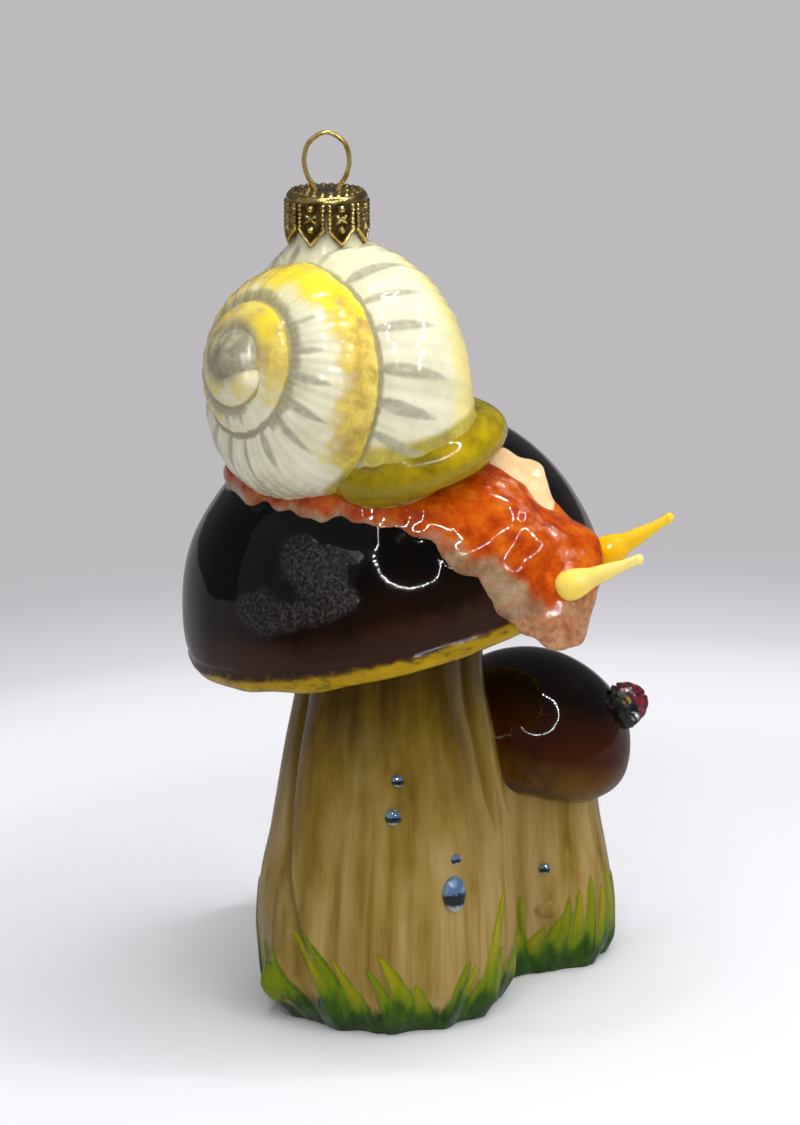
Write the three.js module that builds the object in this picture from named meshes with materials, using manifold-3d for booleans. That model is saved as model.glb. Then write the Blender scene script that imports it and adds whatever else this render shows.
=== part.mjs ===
// Blown-glass hanging ornament: a snail crawls over the cap of a thick-stemmed mushroom, a small
// mushroom grows from its side, and a ladybird sits on the small cap. Millimetres, +Z up. The origin
// is the middle of the big stem's standing face, -Y is the front and the small mushroom stands at +X.
import * as THREE from "three";
import { mergeVertices } from "three/addons/utils/BufferGeometryUtils.js";
import Module from "manifold-3d";

const wasm = await Module();
wasm.setup();

const vec = (x, y, z) => new THREE.Vector3(x, y, z);
const deg = THREE.MathUtils.degToRad;
const { clamp, lerp, smoothstep } = THREE.MathUtils;

// General
const SEAT_GAP = 0.3; // glue line under every piece fixed to the glass
const WIRE = 0.76; // diameter of the hanger's wire

// Big mushroom
const STEM_HEIGHT = 67; // to the middle of the cap's rim
const STEM_PROFILE = [ // share of the height, radius
  [0, 17.4], [0.06, 19.6], [0.18, 20.8], [0.36, 20.1], [0.51, 18.9], [0.66, 17.1], [0.81, 15.2], [1, 14.6],
];
const STEM_FLUTES = 9;
const STEM_FLUTE_DEPTH = 0.35;
const TURF_LUMPS = 13; // scallops round the foot
const TURF_LUMP = 0.7;
const TURF_HEIGHT = 11;
const CAP_CENTRE = vec(0.8, 0, STEM_HEIGHT);
const CAP_RADIUS = 33.6;
const CAP_HEIGHT = 31.4;
const CAP_LIP = 3.4; // radius of the rolled rim
const CAP_LEAN_LEFT = deg(14.5);
const CAP_LEAN_FRONT = deg(1.5);

// Small mushroom
const SMALL_FOOT = vec(25.5, 20.5, 0);
const SMALL_HEIGHT = 37.5; // to the middle of the cap's rim
const SMALL_PROFILE = [[0, 10.2], [0.08, 11.5], [0.267, 12], [0.48, 10.7], [0.693, 9.3], [1, 8.7]];
const SMALL_CAP_RADIUS = 16.6;
const SMALL_CAP_HEIGHT = 14.4;
const SMALL_CAP_LIP = 6.7;
const SMALL_CAP_SHIFT = -1.8; // from the stem's middle towards the big stem
const SMALL_LEAN = deg(18);
const SMALL_LUMPS = 8;
const SMALL_LUMP = 0.5;
const WEB = 7; // half the thickness of the glass where the two stems run into each other

// Grass moulded round both feet
const BLADES = 15;
const SMALL_BLADES = 9;
const BLADE_HEIGHT = 15;
const BLADE_WIDTH = 4.2;
const BLADE_RELIEF = 0.6;

// Snail. The foot's path, the mouth and the tentacles are set out from the big cap's centre, in cap radii
const FOOT_PATH = [
  [-0.783, -0.06, 0.625], [-0.53, -0.298, 0.759], [-0.173, -0.491, 0.804], [0.207, -0.606, 0.692],
  [0.531, -0.642, 0.436], [0.733, -0.679, 0.24], [0.882, -0.717, 0.091],
];
const FOOT_WIDTH = [
  [0, 2.6], [0.08, 6], [0.25, 10.5], [0.45, 12.4], [0.62, 11.8], [0.76, 10.4], [0.92, 10.2], [1, 7.5],
];
const FOOT_HEIGHT = [
  [0, 1.5], [0.1, 2.6], [0.4, 2], [0.58, 3], [0.72, 5.6], [0.85, 6], [0.95, 5], [1, 3],
];
const FOOT_DEPTH = [[0, 2], [0.55, 3], [0.75, 4.5], [0.9, 7], [1, 4]];
const SKIRT_WAVES = 11;
const SKIRT_WAVE = 0.7;
const MOUTH_SEAT = [0.0952, -0.4464, 0.8393];
const LIP_RADIUS = 11.3; // rolled lip round the shell's mouth
const LIP_ROLL = 3.2;
const LIP_LEAN_LEFT = deg(12);
const LIP_LEAN_FRONT = deg(8);
const SHELL_APEX = vec(-36, -15.4, 19.5); // from the mouth to a point on the coil's axis past the apex
const SHELL_AXIS = vec(-0.73, -0.61, 0.31).normalize();
const SHELL_MOUTH = deg(-72); // where the mouth lies round the axis
// Turns in from the mouth, with the tube's distance from the axis, its place down the axis and its radius
const SHELL_REACH = [
  [0, 12.9], [0.5, 10.6], [1, 9.5], [1.5, 7.9], [2, 6.2], [2.5, 5.2], [3, 3.9],
];
const SHELL_DROP = [
  [0, 38.7], [0.5, 30.7], [1, 25.6], [1.5, 21.1], [2, 18.6], [2.5, 16], [3, 14.6],
];
const SHELL_TUBE = [
  [0, 10.9], [0.5, 10.4], [1, 9.4], [1.5, 6.9], [2, 4.9], [2.5, 4.2], [3, 3.4],
];
const APEX_RADIUS = 4.4; // round knob in the middle of the coil
const APEX_DROP = 14.2;
const TENTACLE_LENGTH = 12.4;
const TENTACLE_BASE = 2.3;
const TENTACLE_TIP = 0.75;
const TENTACLES = {
  right_tentacle: { seat: [0.8, -0.83, 0.285], lean: vec(0.884, -0.237, 0.403) },
  left_tentacle: { seat: [0.976, -0.432, 0.33], lean: vec(0.863, -0.16, 0.479) },
};

// Neck, crown cap and hanger
const NECK_SEAT = [-13.3, 7.9]; // from the middle of the shell's mouth
const NECK_STAND = 7.185; // above the top of the shell
const NECK_RADIUS = 5.2;
const NECK_BORE = 4.1;
const BORE_DEPTH = 21;
const CROWN_RADIUS = 6.3;
const CROWN_SHEET = 0.4;
const CROWN_SHOULDER = 1; // radius of its rounded top edge
const PETALS = 8;
const PETAL_POINT = 2.6;
const PETAL_SLIT = 0.36;
const LEG_SPACING = 3.4;
const LEG_HOLE = WIRE / 2 + 0.32;
const LOOP_RADIUS = 3.47;
const LOOP_TOP = 9.3; // above the crown
const HANGER_TRAVEL = 3;
const LEG_LENGTH = 17;
const LEG_SPLAY = 1.5;

// Crystals: turn round the stem from the front, share of its height, and half length and width
const CRYSTALS = {
  upper_small_crystal: { turn: deg(5), share: 0.627, size: [1, 1] },
  upper_round_crystal: { turn: deg(2.5), share: 0.543, size: [1.3, 1.3] },
  lower_small_crystal: { turn: deg(32.4), share: 0.43, size: [0.9, 0.9] },
  oval_crystal: { turn: deg(30.7), share: 0.348, size: [2, 3] },
  small_stem_crystal: { turn: deg(0.5), share: 0.48, size: [0.95, 0.95], small: true },
};
const CRYSTAL_RISE = 0.62; // dome height as a share of half its width
const CRYSTAL_GIRDLE = 0.45;
const CRYSTAL_SINK = 0.9; // how far its back starts below the seat it is trimmed to

// Ladybird, by its place on the small cap
const LADYBIRD_TURN = deg(-6);
const LADYBIRD_Z = 9.6;
const LADYBIRD_HEADING = deg(90); // its head looks to the front
const LADYBIRD = [3.6, 3.9, 4.6]; // half length, half width, height
const LADYBIRD_HEAD = [0.85, 0.45, 0.6]; // the head's half sizes as shares of those, width first
const EYE = 0.75; // radius of its two eyes
const LADYBIRD_SADDLE = 0.85; // height at which the wing cases sit on the body

// Where the shell comes out, from the sizes above
const fromCap = ([x, y, z]) => vec(x, y, z).multiplyScalar(CAP_RADIUS).add(CAP_CENTRE);
const lipCentre = fromCap(MOUTH_SEAT);
const shellOrigin = lipCentre.clone().add(SHELL_APEX);

// A smooth curve through [x, y] pairs
function curveThrough(pairs) {
  const slope = (i) => {
    const [a, b] = [pairs[Math.max(i - 1, 0)], pairs[Math.min(i + 1, pairs.length - 1)]];
    return (b[1] - a[1]) / (b[0] - a[0]);
  };
  return (x) => {
    const at = clamp(x, pairs[0][0], pairs.at(-1)[0]);
    const k = clamp(pairs.findLastIndex((p) => p[0] <= at), 0, pairs.length - 2);
    const [[x0, y0], [x1, y1]] = [pairs[k], pairs[k + 1]];
    const w = x1 - x0;
    const t = (at - x0) / w;
    const h = t * t * (3 - 2 * t);
    return lerp(y0, y1, h) + w * t * (1 - t) * ((1 - t) * slope(k) - t * slope(k + 1));
  };
}

// The solid that a closed geometry bounds
function solid(geometry) {
  const bare = geometry.clone();
  bare.deleteAttribute("normal");
  bare.deleteAttribute("uv");
  const merged = mergeVertices(bare, 1e-4);
  const index = merged.index.array;
  const triVerts = [];
  for (let i = 0; i < index.length; i += 3) {
    const [a, b, c] = [index[i], index[i + 1], index[i + 2]];
    if (a !== b && b !== c && c !== a) triVerts.push(a, b, c);
  }
  const build = (tris) => new wasm.Manifold(new wasm.Mesh({
    numProp: 3,
    vertProperties: new Float32Array(merged.attributes.position.array),
    triVerts: new Uint32Array(tris),
  }));
  const made = build(triVerts);
  if (made.volume() > 0) return made;
  return build(triVerts.reverse());
}

// The solid between rings of equal count, with its two ends closed
function loft(rings) {
  const count = rings[0].length;
  const points = rings.flat();
  const index = [];
  for (let i = 0; i < rings.length - 1; i += 1) {
    for (let j = 0; j < count; j += 1) {
      const a = i * count + j;
      const b = i * count + ((j + 1) % count);
      index.push(a, b, b + count, a, b + count, a + count);
    }
  }
  for (const [ring, flip] of [[0, true], [rings.length - 1, false]]) {
    const centre = rings[ring].reduce((sum, p) => sum.add(p), vec(0, 0, 0)).divideScalar(count);
    const c = points.push(centre) - 1;
    for (let j = 0; j < count; j += 1) {
      const a = ring * count + j;
      const b = ring * count + ((j + 1) % count);
      index.push(...(flip ? [c, b, a] : [c, a, b]));
    }
  }
  const geometry = new THREE.BufferGeometry().setFromPoints(points);
  geometry.setIndex(index);
  return solid(geometry);
}

// A lathe about +Z
function turned(profile, segments) {
  const points = profile.map(([r, z]) => new THREE.Vector2(Math.max(r, 0), z));
  return solid(new THREE.LatheGeometry(points, segments).rotateX(Math.PI / 2));
}

const unionOf = (solids) => solids.reduce((sum, s) => sum.add(s));
const placed = (shape, matrix) => shape.transform(matrix.elements);
const around = (count, make) => (
  Array.from({ length: count }, (_, i) => make(i, (i / count) * 2 * Math.PI))
);

// Stems
const stemCurve = curveThrough(STEM_PROFILE);
const smallCurve = curveThrough(SMALL_PROFILE);

// Radius of the big stem at a turn from the front and a height
function stemRadius(turn, z) {
  const flute = STEM_FLUTE_DEPTH * Math.cos(STEM_FLUTES * turn + 0.7);
  const lump = TURF_LUMP * Math.cos(TURF_LUMPS * turn);
  const turf = 1 - smoothstep(z, 0.2 * TURF_HEIGHT, TURF_HEIGHT);
  const bare = smoothstep(z, 0.4 * TURF_HEIGHT, 1.3 * TURF_HEIGHT);
  return stemCurve(z / STEM_HEIGHT) + flute * bare + lump * turf;
}

function smallStemRadius(turn, z) {
  const turf = 1 - smoothstep(z, 0.2 * TURF_HEIGHT, 0.75 * TURF_HEIGHT);
  return smallCurve(z / SMALL_HEIGHT) + SMALL_LUMP * Math.cos(SMALL_LUMPS * turn) * turf;
}

function stemSolid(centre, radius, top, sides, grow) {
  const shares = [0, 0.025, 0.06, 0.12, 0.2, 0.29, 0.39, 0.5, 0.61, 0.71, 0.82, 1];
  return loft(shares.map((share) => share * top).map((z, i) => around(sides, (_, a) => {
    const r = radius(a, z) + grow;
    return vec(centre.x + r * Math.sin(a), centre.y - r * Math.cos(a), i === 0 ? -grow : z);
  })));
}

// The glass where the two stems run into each other
function webSolid() {
  const post = (centre) => solid(new THREE.CylinderGeometry(WEB, WEB, SMALL_HEIGHT, 20)
    .rotateX(Math.PI / 2).translate(centre.x, centre.y, SMALL_HEIGHT / 2));
  return wasm.Manifold.hull([post(vec(0, 0, 0)), post(SMALL_FOOT)]).asOriginal();
}

// Point and outward normal on a stem's side
function onStem(centre, radius, turn, z) {
  const at = (a, h) => {
    const r = radius(a, h);
    return vec(centre.x + r * Math.sin(a), centre.y - r * Math.cos(a), h);
  };
  const point = at(turn, z);
  const side = at(turn + 0.02, z).sub(at(turn - 0.02, z));
  const up = at(turn, z + 0.5).sub(at(turn, z - 0.5));
  return { point, normal: side.clone().cross(up).normalize(), up: up.normalize() };
}

// Caps
const capPose = new THREE.Matrix4()
  .makeRotationFromEuler(new THREE.Euler(CAP_LEAN_FRONT, -CAP_LEAN_LEFT, 0))
  .setPosition(CAP_CENTRE);
const smallCapCentre = vec(SMALL_FOOT.x + SMALL_CAP_SHIFT, SMALL_FOOT.y, SMALL_HEIGHT);
const smallCapPose = new THREE.Matrix4().makeRotationY(SMALL_LEAN).setPosition(smallCapCentre);

// Dome, rolled rim and shallow underside
function capProfile(radius, height, lip, steps) {
  const dome = Array.from({ length: steps + 1 }, (_, i) => {
    const a = (1 - i / steps) * (Math.PI / 2);
    return [radius * Math.cos(a), height * Math.sin(a)];
  });
  const rim = [25, 50, 75, 100, 125].map((a) => [
    radius - lip + lip * Math.cos(deg(a)),
    -lip * Math.sin(deg(a)),
  ]);
  return [...dome, ...rim, [radius * 0.42, -lip * 0.5], [0, -lip * 0.5]];
}

const capSolid = (grow) => placed(
  turned(capProfile(CAP_RADIUS + grow, CAP_HEIGHT + grow, CAP_LIP + grow, 10), 44),
  capPose,
);
const smallCapSolid = (grow) => placed(
  turned(capProfile(SMALL_CAP_RADIUS + grow, SMALL_CAP_HEIGHT + grow, SMALL_CAP_LIP + grow, 7), 28),
  smallCapPose,
);

// One grass blade: a flat spike that follows the stem's side and leans to one side
function blade(centre, radius, turn, lean, height) {
  const rings = [0, 0.4, 0.75, 1].map((t) => {
    const half = (BLADE_WIDTH / 2) * (1 - 0.9 * t ** 1.4);
    const z = BLADE_RELIEF + height * t;
    const a = turn + lean * t * t;
    const face = onStem(centre, radius, a, z);
    const side = vec(Math.cos(a), Math.sin(a), 0);
    const lift = BLADE_RELIEF * (1 - 0.5 * t);
    const root = -2 * BLADE_RELIEF;
    return [[-1, root], [-0.6, lift * 0.7], [0, lift], [0.6, lift * 0.7], [1, root]].map(
      ([s, out]) => face.point.clone()
        .addScaledVector(side, s * half)
        .addScaledVector(face.normal, out),
    );
  });
  return loft(rings);
}

function grass() {
  const lean = (i) => deg(9) * Math.sin(i * 2.4) + deg(4);
  const height = (i) => BLADE_HEIGHT * (0.72 + 0.28 * Math.sin(i * 1.7 + 1));
  return [
    ...around(BLADES, (i, a) => blade(vec(0, 0, 0), stemRadius, a, lean(i), height(i))),
    ...around(SMALL_BLADES, (i, a) => (
      blade(SMALL_FOOT, smallStemRadius, a, lean(i) * 1.6, height(i) * 0.8)
    )),
  ];
}

// Snail's foot and head: rings across a path over the dome, draped round the dome's centre
const footPath = new THREE.CatmullRomCurve3(FOOT_PATH.map(fromCap), false, "centripetal");
const [footWidth, footHeight, footDepth] = [FOOT_WIDTH, FOOT_HEIGHT, FOOT_DEPTH].map(curveThrough);

function footSolid(grow) {
  const steps = 28;
  const sides = 18;
  const rings = Array.from({ length: steps + 1 }, (_, i) => {
    const s = i / steps;
    const out = footPath.getPointAt(s).sub(CAP_CENTRE);
    const reach = out.length();
    const normal = out.clone().normalize();
    const tangent = footPath.getTangentAt(s);
    const side = tangent.clone().cross(normal).normalize();
    const skirt = smoothstep(s, 0.05, 0.2) * (1 - smoothstep(s, 0.75, 0.9));
    const wave = SKIRT_WAVE * Math.sin(SKIRT_WAVES * 2 * Math.PI * s);
    const half = footWidth(s) + wave * skirt + grow;
    const end = i === 0 ? -grow : i === steps ? grow : 0;
    return around(sides, (_, a) => {
      const across = (half * Math.cos(a)) / reach;
      const rise = Math.sin(a) > 0
        ? (footHeight(s) + grow) * Math.sin(a) ** 1.15
        : (footDepth(s) + grow) * Math.sin(a);
      return CAP_CENTRE.clone()
        .addScaledVector(normal, (reach + rise) * Math.cos(across))
        .addScaledVector(side, (reach + rise) * Math.sin(across))
        .addScaledVector(tangent, end);
    });
  });
  return loft(rings);
}

// Coiled shell: a round tube that grows as it winds down the axis, in lengths of part of a turn each
const shellSide = vec(1, 0, 0).addScaledVector(SHELL_AXIS, -SHELL_AXIS.x).normalize();
const shellUp = SHELL_AXIS.clone().cross(shellSide);

const [shellReach, shellDrop, shellTube] = [SHELL_REACH, SHELL_DROP, SHELL_TUBE].map(curveThrough);
const shellTurns = SHELL_TUBE.at(-1)[0];

function whorlRing(turn, sides, grow, squeeze = 1) {
  const a = turn * 2 * Math.PI + SHELL_MOUTH;
  const out = shellSide.clone().multiplyScalar(Math.cos(a)).addScaledVector(shellUp, Math.sin(a));
  const r = (shellTube(turn) + grow) * squeeze;
  const centre = shellOrigin.clone()
    .addScaledVector(out, shellReach(turn))
    .addScaledVector(SHELL_AXIS, -shellDrop(turn));
  return around(sides, (_, b) => centre.clone()
    .addScaledVector(out, r * Math.cos(b))
    .addScaledVector(SHELL_AXIS, r * Math.sin(b)));
}

const lipPose = new THREE.Matrix4()
  .makeRotationFromEuler(new THREE.Euler(LIP_LEAN_FRONT, -LIP_LEAN_LEFT, 0))
  .setPosition(lipCentre);

function shellSolids(grow) {
  const step = 1 / 20;
  const perLength = 7;
  const sides = 20;
  const lengths = [];
  for (let i = 0; i * step * perLength < shellTurns; i += 1) {
    const from = i * step * perLength;
    const to = Math.min(from + step * perLength, shellTurns);
    const count = Math.round((to - from) / step);
    const rings = Array.from({ length: count + 1 }, (_, k) => (
      whorlRing(lerp(from, to, k / count), sides, grow)
    ));
    if (to === shellTurns) {
      rings.push(whorlRing(to + step, sides, grow, 0.85));
      rings.push(whorlRing(to + step * 1.8, sides, grow, 0.45));
    }
    lengths.push(loft(rings));
  }
  const lip = solid(new THREE.TorusGeometry(LIP_RADIUS, LIP_ROLL + grow, 12, 36));
  const deep = LIP_ROLL * 0.7;
  const floor = turned([[0, -deep], [LIP_RADIUS, -deep], [LIP_RADIUS, deep], [0, deep]], 36);
  const apex = solid(new THREE.SphereGeometry(APEX_RADIUS + grow, 20, 12))
    .translate(shellOrigin.clone().addScaledVector(SHELL_AXIS, -APEX_DROP).toArray());
  return [...lengths, apex, placed(lip, lipPose), placed(floor, lipPose)];
}

// The neck stands on the shell, and the crown cap goes over it down to the top of the shell
const shellTop = Math.max(...around(72, (i) => whorlRing(i / 72, 72, 0).map((p) => p.z)).flat());
const neckRim = vec(lipCentre.x + NECK_SEAT[0], lipCentre.y + NECK_SEAT[1], shellTop + NECK_STAND);
const crownHeight = NECK_STAND + SEAT_GAP + CROWN_SHEET;
const crownTop = shellTop + crownHeight;
const neckAt = (shape) => shape.translate([neckRim.x, neckRim.y, neckRim.z]);
const neckEdge = (NECK_RADIUS - NECK_BORE) / 2;
const neckSolid = () => neckAt(turned([
  [0, -BORE_DEPTH * 0.76],
  [NECK_RADIUS, -BORE_DEPTH * 0.76],
  [NECK_RADIUS, -neckEdge],
  [NECK_RADIUS - neckEdge, 0],
  [0, 0],
], 32));
const boreSolid = () => neckAt(turned([
  [0, -BORE_DEPTH],
  [NECK_BORE, -BORE_DEPTH],
  [NECK_BORE, 1],
  [0, 1],
], 32));

// The glass, by painted zone
const zones = {
  stem: (grow) => [
    stemSolid(vec(0, 0, 0), stemRadius, STEM_HEIGHT, 36, grow),
    stemSolid(SMALL_FOOT, smallStemRadius, SMALL_HEIGHT, 26, grow),
    webSolid(),
  ],
  cap: (grow) => [capSolid(grow), smallCapSolid(grow)],
  grass: () => grass(),
  snail: (grow) => [footSolid(grow)],
  shell: (grow) => [...shellSolids(grow), neckSolid()],
};
const zonePaint = {
  stem: { color: "#a58f62", roughness: 0.15 },
  cap: { color: "#3a1c10", roughness: 0.08 },
  grass: { color: "#5f8a24", roughness: 0.15 },
  snail: { color: "#c9622a", roughness: 0.15 },
  shell: { color: "#e9e3b8", roughness: 0.1 },
};

const group = new THREE.Group();

// Geometry of a solid, with one material group for each painted zone when they are given
function geometryOf(shape, zoneOf) {
  const mesh = shape.getMesh();
  const geometry = new THREE.BufferGeometry();
  const stride = mesh.numProp;
  const count = mesh.vertProperties.length / stride;
  const xyz = new Float32Array(count * 3);
  for (let i = 0; i < count; i += 1) {
    xyz.set(mesh.vertProperties.slice(i * stride, i * stride + 3), i * 3);
  }
  geometry.setAttribute("position", new THREE.BufferAttribute(xyz, 3));
  geometry.setIndex(Array.from(mesh.triVerts));
  if (zoneOf) {
    mesh.runOriginalID.forEach((id, i) => {
      const from = mesh.runIndex[i];
      const to = mesh.runIndex[i + 1];
      geometry.addGroup(from, to - from, zoneOf.get(id) ?? 0);
    });
  }
  geometry.computeVertexNormals();
  return geometry;
}

function add(name, shape, paint, zoneOf) {
  const paints = [paint].flat().map((p) => new THREE.MeshStandardMaterial(p));
  const mesh = new THREE.Mesh(geometryOf(shape, zoneOf), zoneOf ? paints : paints[0]);
  mesh.name = name;
  group.add(mesh);
}

const zoneOf = new Map();
const forms = Object.keys(zones).flatMap((zone, i) => zones[zone](0).map((form) => {
  zoneOf.set(form.originalID(), i);
  return form;
}));
// The pockets that the coil and the foot close off are left filled
const outside = unionOf(unionOf(forms).decompose().filter((part) => part.volume() > 0));
const glass = outside.subtract(boreSolid());
add("glass_body", glass, Object.values(zonePaint), zoneOf);

// What a glued piece has to keep clear of
const seat = unionOf(["stem", "cap", "snail"].flatMap((zone) => zones[zone](SEAT_GAP)));

// A frame whose Z is the normal and whose Y is as near as can be to the given direction
function poseOn(point, normal, along) {
  const x = along.clone().cross(normal).normalize();
  return new THREE.Matrix4().makeBasis(x, normal.clone().cross(x), normal).setPosition(point);
}

// Tentacles: drawn horns with a round foot
const hornProfile = [
  [0, -TENTACLE_BASE],
  [TENTACLE_BASE * 0.55, -TENTACLE_BASE * 0.85],
  [TENTACLE_BASE * 0.92, -TENTACLE_BASE * 0.4],
  [TENTACLE_BASE * 1.04, TENTACLE_BASE * 0.2],
  [TENTACLE_BASE * 0.9, TENTACLE_BASE * 0.9],
  [lerp(TENTACLE_BASE, TENTACLE_TIP, 0.45) * 0.9, TENTACLE_LENGTH * 0.45],
  [TENTACLE_TIP, TENTACLE_LENGTH - TENTACLE_TIP * 1.6],
  [TENTACLE_TIP * 1.1, TENTACLE_LENGTH - TENTACLE_TIP * 0.8],
  [TENTACLE_TIP * 0.7, TENTACLE_LENGTH - TENTACLE_TIP * 0.2],
  [0, TENTACLE_LENGTH],
];
for (const [name, { seat: foot, lean }] of Object.entries(TENTACLES)) {
  const pose = poseOn(fromCap(foot), lean.clone().normalize(), vec(0, 0, 1));
  const horn = placed(turned(hornProfile, 18), pose);
  add(name, horn.subtract(seat), { color: "#f0dc78", roughness: 0.1 });
}

// A flat-back crystal: straight girdle and domed top, its back below the seat to be trimmed to it
function crystal(half, rise) {
  const profile = [
    [0, -CRYSTAL_SINK],
    [1, -CRYSTAL_SINK],
    [1, CRYSTAL_GIRDLE],
    [0.86, CRYSTAL_GIRDLE + rise * 0.45],
    [0.55, CRYSTAL_GIRDLE + rise * 0.85],
    [0, CRYSTAL_GIRDLE + rise],
  ];
  return turned(profile, 20).scale([half[0], half[1], 1]);
}
for (const [name, { turn, share, size, small }] of Object.entries(CRYSTALS)) {
  const { point, normal, up } = small
    ? onStem(SMALL_FOOT, smallStemRadius, turn, share * SMALL_HEIGHT)
    : onStem(vec(0, 0, 0), stemRadius, turn, share * STEM_HEIGHT);
  const stone = placed(crystal(size, CRYSTAL_RISE * size[0]), poseOn(point, normal, up));
  add(name, stone.subtract(seat), { color: "#c9d6e6", roughness: 0.04, metalness: 0.6 });
}

// Ladybird on the small cap
const beetleR = SMALL_CAP_RADIUS * Math.sqrt(1 - (LADYBIRD_Z / SMALL_CAP_HEIGHT) ** 2);
const beetleLocal = vec(beetleR * Math.cos(LADYBIRD_TURN), beetleR * Math.sin(LADYBIRD_TURN), LADYBIRD_Z);
const beetleNormal = vec(
  beetleLocal.x / SMALL_CAP_RADIUS ** 2,
  beetleLocal.y / SMALL_CAP_RADIUS ** 2,
  beetleLocal.z / SMALL_CAP_HEIGHT ** 2,
).transformDirection(smallCapPose);
const beetlePose = poseOn(beetleLocal.applyMatrix4(smallCapPose), beetleNormal, vec(0, 0, 1))
  .multiply(new THREE.Matrix4().makeRotationZ(LADYBIRD_HEADING));
const [beetleLength, beetleWidth, beetleHeight] = LADYBIRD;

// The part of an ellipsoid above a level, in the ladybird's own frame with its head at +Y
function dome(half, level, grow = 0) {
  const ball = solid(new THREE.SphereGeometry(1, 20, 12)).scale(half.map((h) => h + grow));
  const [w, l, h] = half.map((v) => v * 3);
  const keep = solid(new THREE.BoxGeometry(w, l, h).translate(0, 0, level + h / 2));
  return ball.intersect(keep);
}
const headHalf = [beetleWidth, beetleLength, beetleHeight].map((size, i) => size * LADYBIRD_HEAD[i]);
const under = -CRYSTAL_SINK * 1.3;
const lift = SEAT_GAP * 0.67;
const headCentre = vec(0, beetleLength * 0.62, lift);
const headAt = (grow) => dome(headHalf, under, grow).translate(headCentre.toArray());
const bodyForm = unionOf([
  dome([beetleWidth, beetleLength, LADYBIRD_SADDLE], under).translate([0, 0, lift]),
  headAt(0),
]);
const aboveSaddle = solid(new THREE.BoxGeometry(beetleWidth * 3, beetleLength * 3, beetleHeight * 2)
  .translate(0, -beetleLength * 1.16, LADYBIRD_SADDLE + beetleHeight));
const casesForm = dome([beetleWidth, beetleLength * 0.84, beetleHeight], LADYBIRD_SADDLE + SEAT_GAP)
  .translate([0, -beetleLength * 0.2, 0]);
const beetleBody = placed(bodyForm.subtract(aboveSaddle), beetlePose).subtract(seat);
add("ladybird_body", beetleBody, { color: "#161a12", roughness: 0.2 });
const beetleCases = placed(casesForm.subtract(headAt(SEAT_GAP)), beetlePose);
add("ladybird_wing_cases", beetleCases, { color: "#6d1f2a", roughness: 0.06 });
const EYES = [
  ["ladybird_amber_eye", 1, "#d99a2b"],
  ["ladybird_clear_eye", -1, "#dfe6ee"],
];
for (const [name, side, color] of EYES) {
  const share = vec(side * 0.42, 0.72, 0.55).normalize();
  const spot = share.clone().multiply(vec(...headHalf)).add(headCentre);
  const facing = share.clone().divide(vec(...headHalf)).normalize();
  const stone = crystal([EYE, EYE], EYE * 0.7).trimByPlane([0, 0, 1], -CRYSTAL_GIRDLE);
  const eye = placed(stone, beetlePose.clone().multiply(poseOn(spot, facing, vec(0, 0, 1))));
  const clear = [headAt(SEAT_GAP), casesForm.scale([1.1, 1.1, 1.1])].map((s) => placed(s, beetlePose));
  add(name, clear.reduce((left, s) => left.subtract(s), eye), { color, roughness: 0.04 });
}

// Crown cap: a stamped cup with eight pointed petals
const wallAt = (down) => CROWN_RADIUS + 0.012 * down;
const crownProfile = [
  [0, 0],
  [CROWN_RADIUS - CROWN_SHOULDER, 0],
  [CROWN_RADIUS - CROWN_SHOULDER * 0.3, -CROWN_SHOULDER * 0.3],
  [CROWN_RADIUS, -CROWN_SHOULDER],
  [wallAt(crownHeight), -crownHeight],
  [wallAt(crownHeight) - CROWN_SHEET, -crownHeight],
  [CROWN_RADIUS - CROWN_SHEET, -CROWN_SHOULDER * 1.1],
  [CROWN_RADIUS - CROWN_SHEET - CROWN_SHOULDER * 0.25, -CROWN_SHEET - CROWN_SHOULDER * 0.2],
  [CROWN_RADIUS - CROWN_SHOULDER * 1.1, -CROWN_SHEET],
  [0, -CROWN_SHEET],
];
const slitTop = crownHeight * 0.3;
const pitch = (2 * Math.PI * CROWN_RADIUS) / PETALS;
const gap = new THREE.Shape([
  [-PETAL_SLIT / 2, -slitTop],
  [-PETAL_SLIT / 2, -crownHeight + PETAL_POINT],
  [-pitch / 2, -crownHeight],
  [-pitch / 2, -crownHeight - 1],
  [pitch / 2, -crownHeight - 1],
  [pitch / 2, -crownHeight],
  [PETAL_SLIT / 2, -crownHeight + PETAL_POINT],
  [PETAL_SLIT / 2, -slitTop],
].map(([x, y]) => new THREE.Vector2(x, y)));
const notch = solid(new THREE.ExtrudeGeometry(gap, { depth: CROWN_SHEET * 10, bevelEnabled: false })
  .translate(0, 0, CROWN_RADIUS - CROWN_SHEET * 5).rotateX(Math.PI / 2));
const legHole = (side) => solid(new THREE.CylinderGeometry(LEG_HOLE, LEG_HOLE, CROWN_SHEET * 4, 16)
  .rotateX(Math.PI / 2).translate((side * LEG_SPACING) / 2, 0, 0));
const crown = around(PETALS, (i, a) => notch.rotate([0, 0, THREE.MathUtils.radToDeg(a)]))
  .concat(legHole(-1), legHole(1))
  .reduce((cup, cut) => cup.subtract(cut), turned(crownProfile, 48));
const onNeck = (shape) => shape.translate([neckRim.x, neckRim.y, crownTop]);
add("crown_cap", onNeck(crown), { color: "#b08a3e", roughness: 0.35, metalness: 1 });

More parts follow.
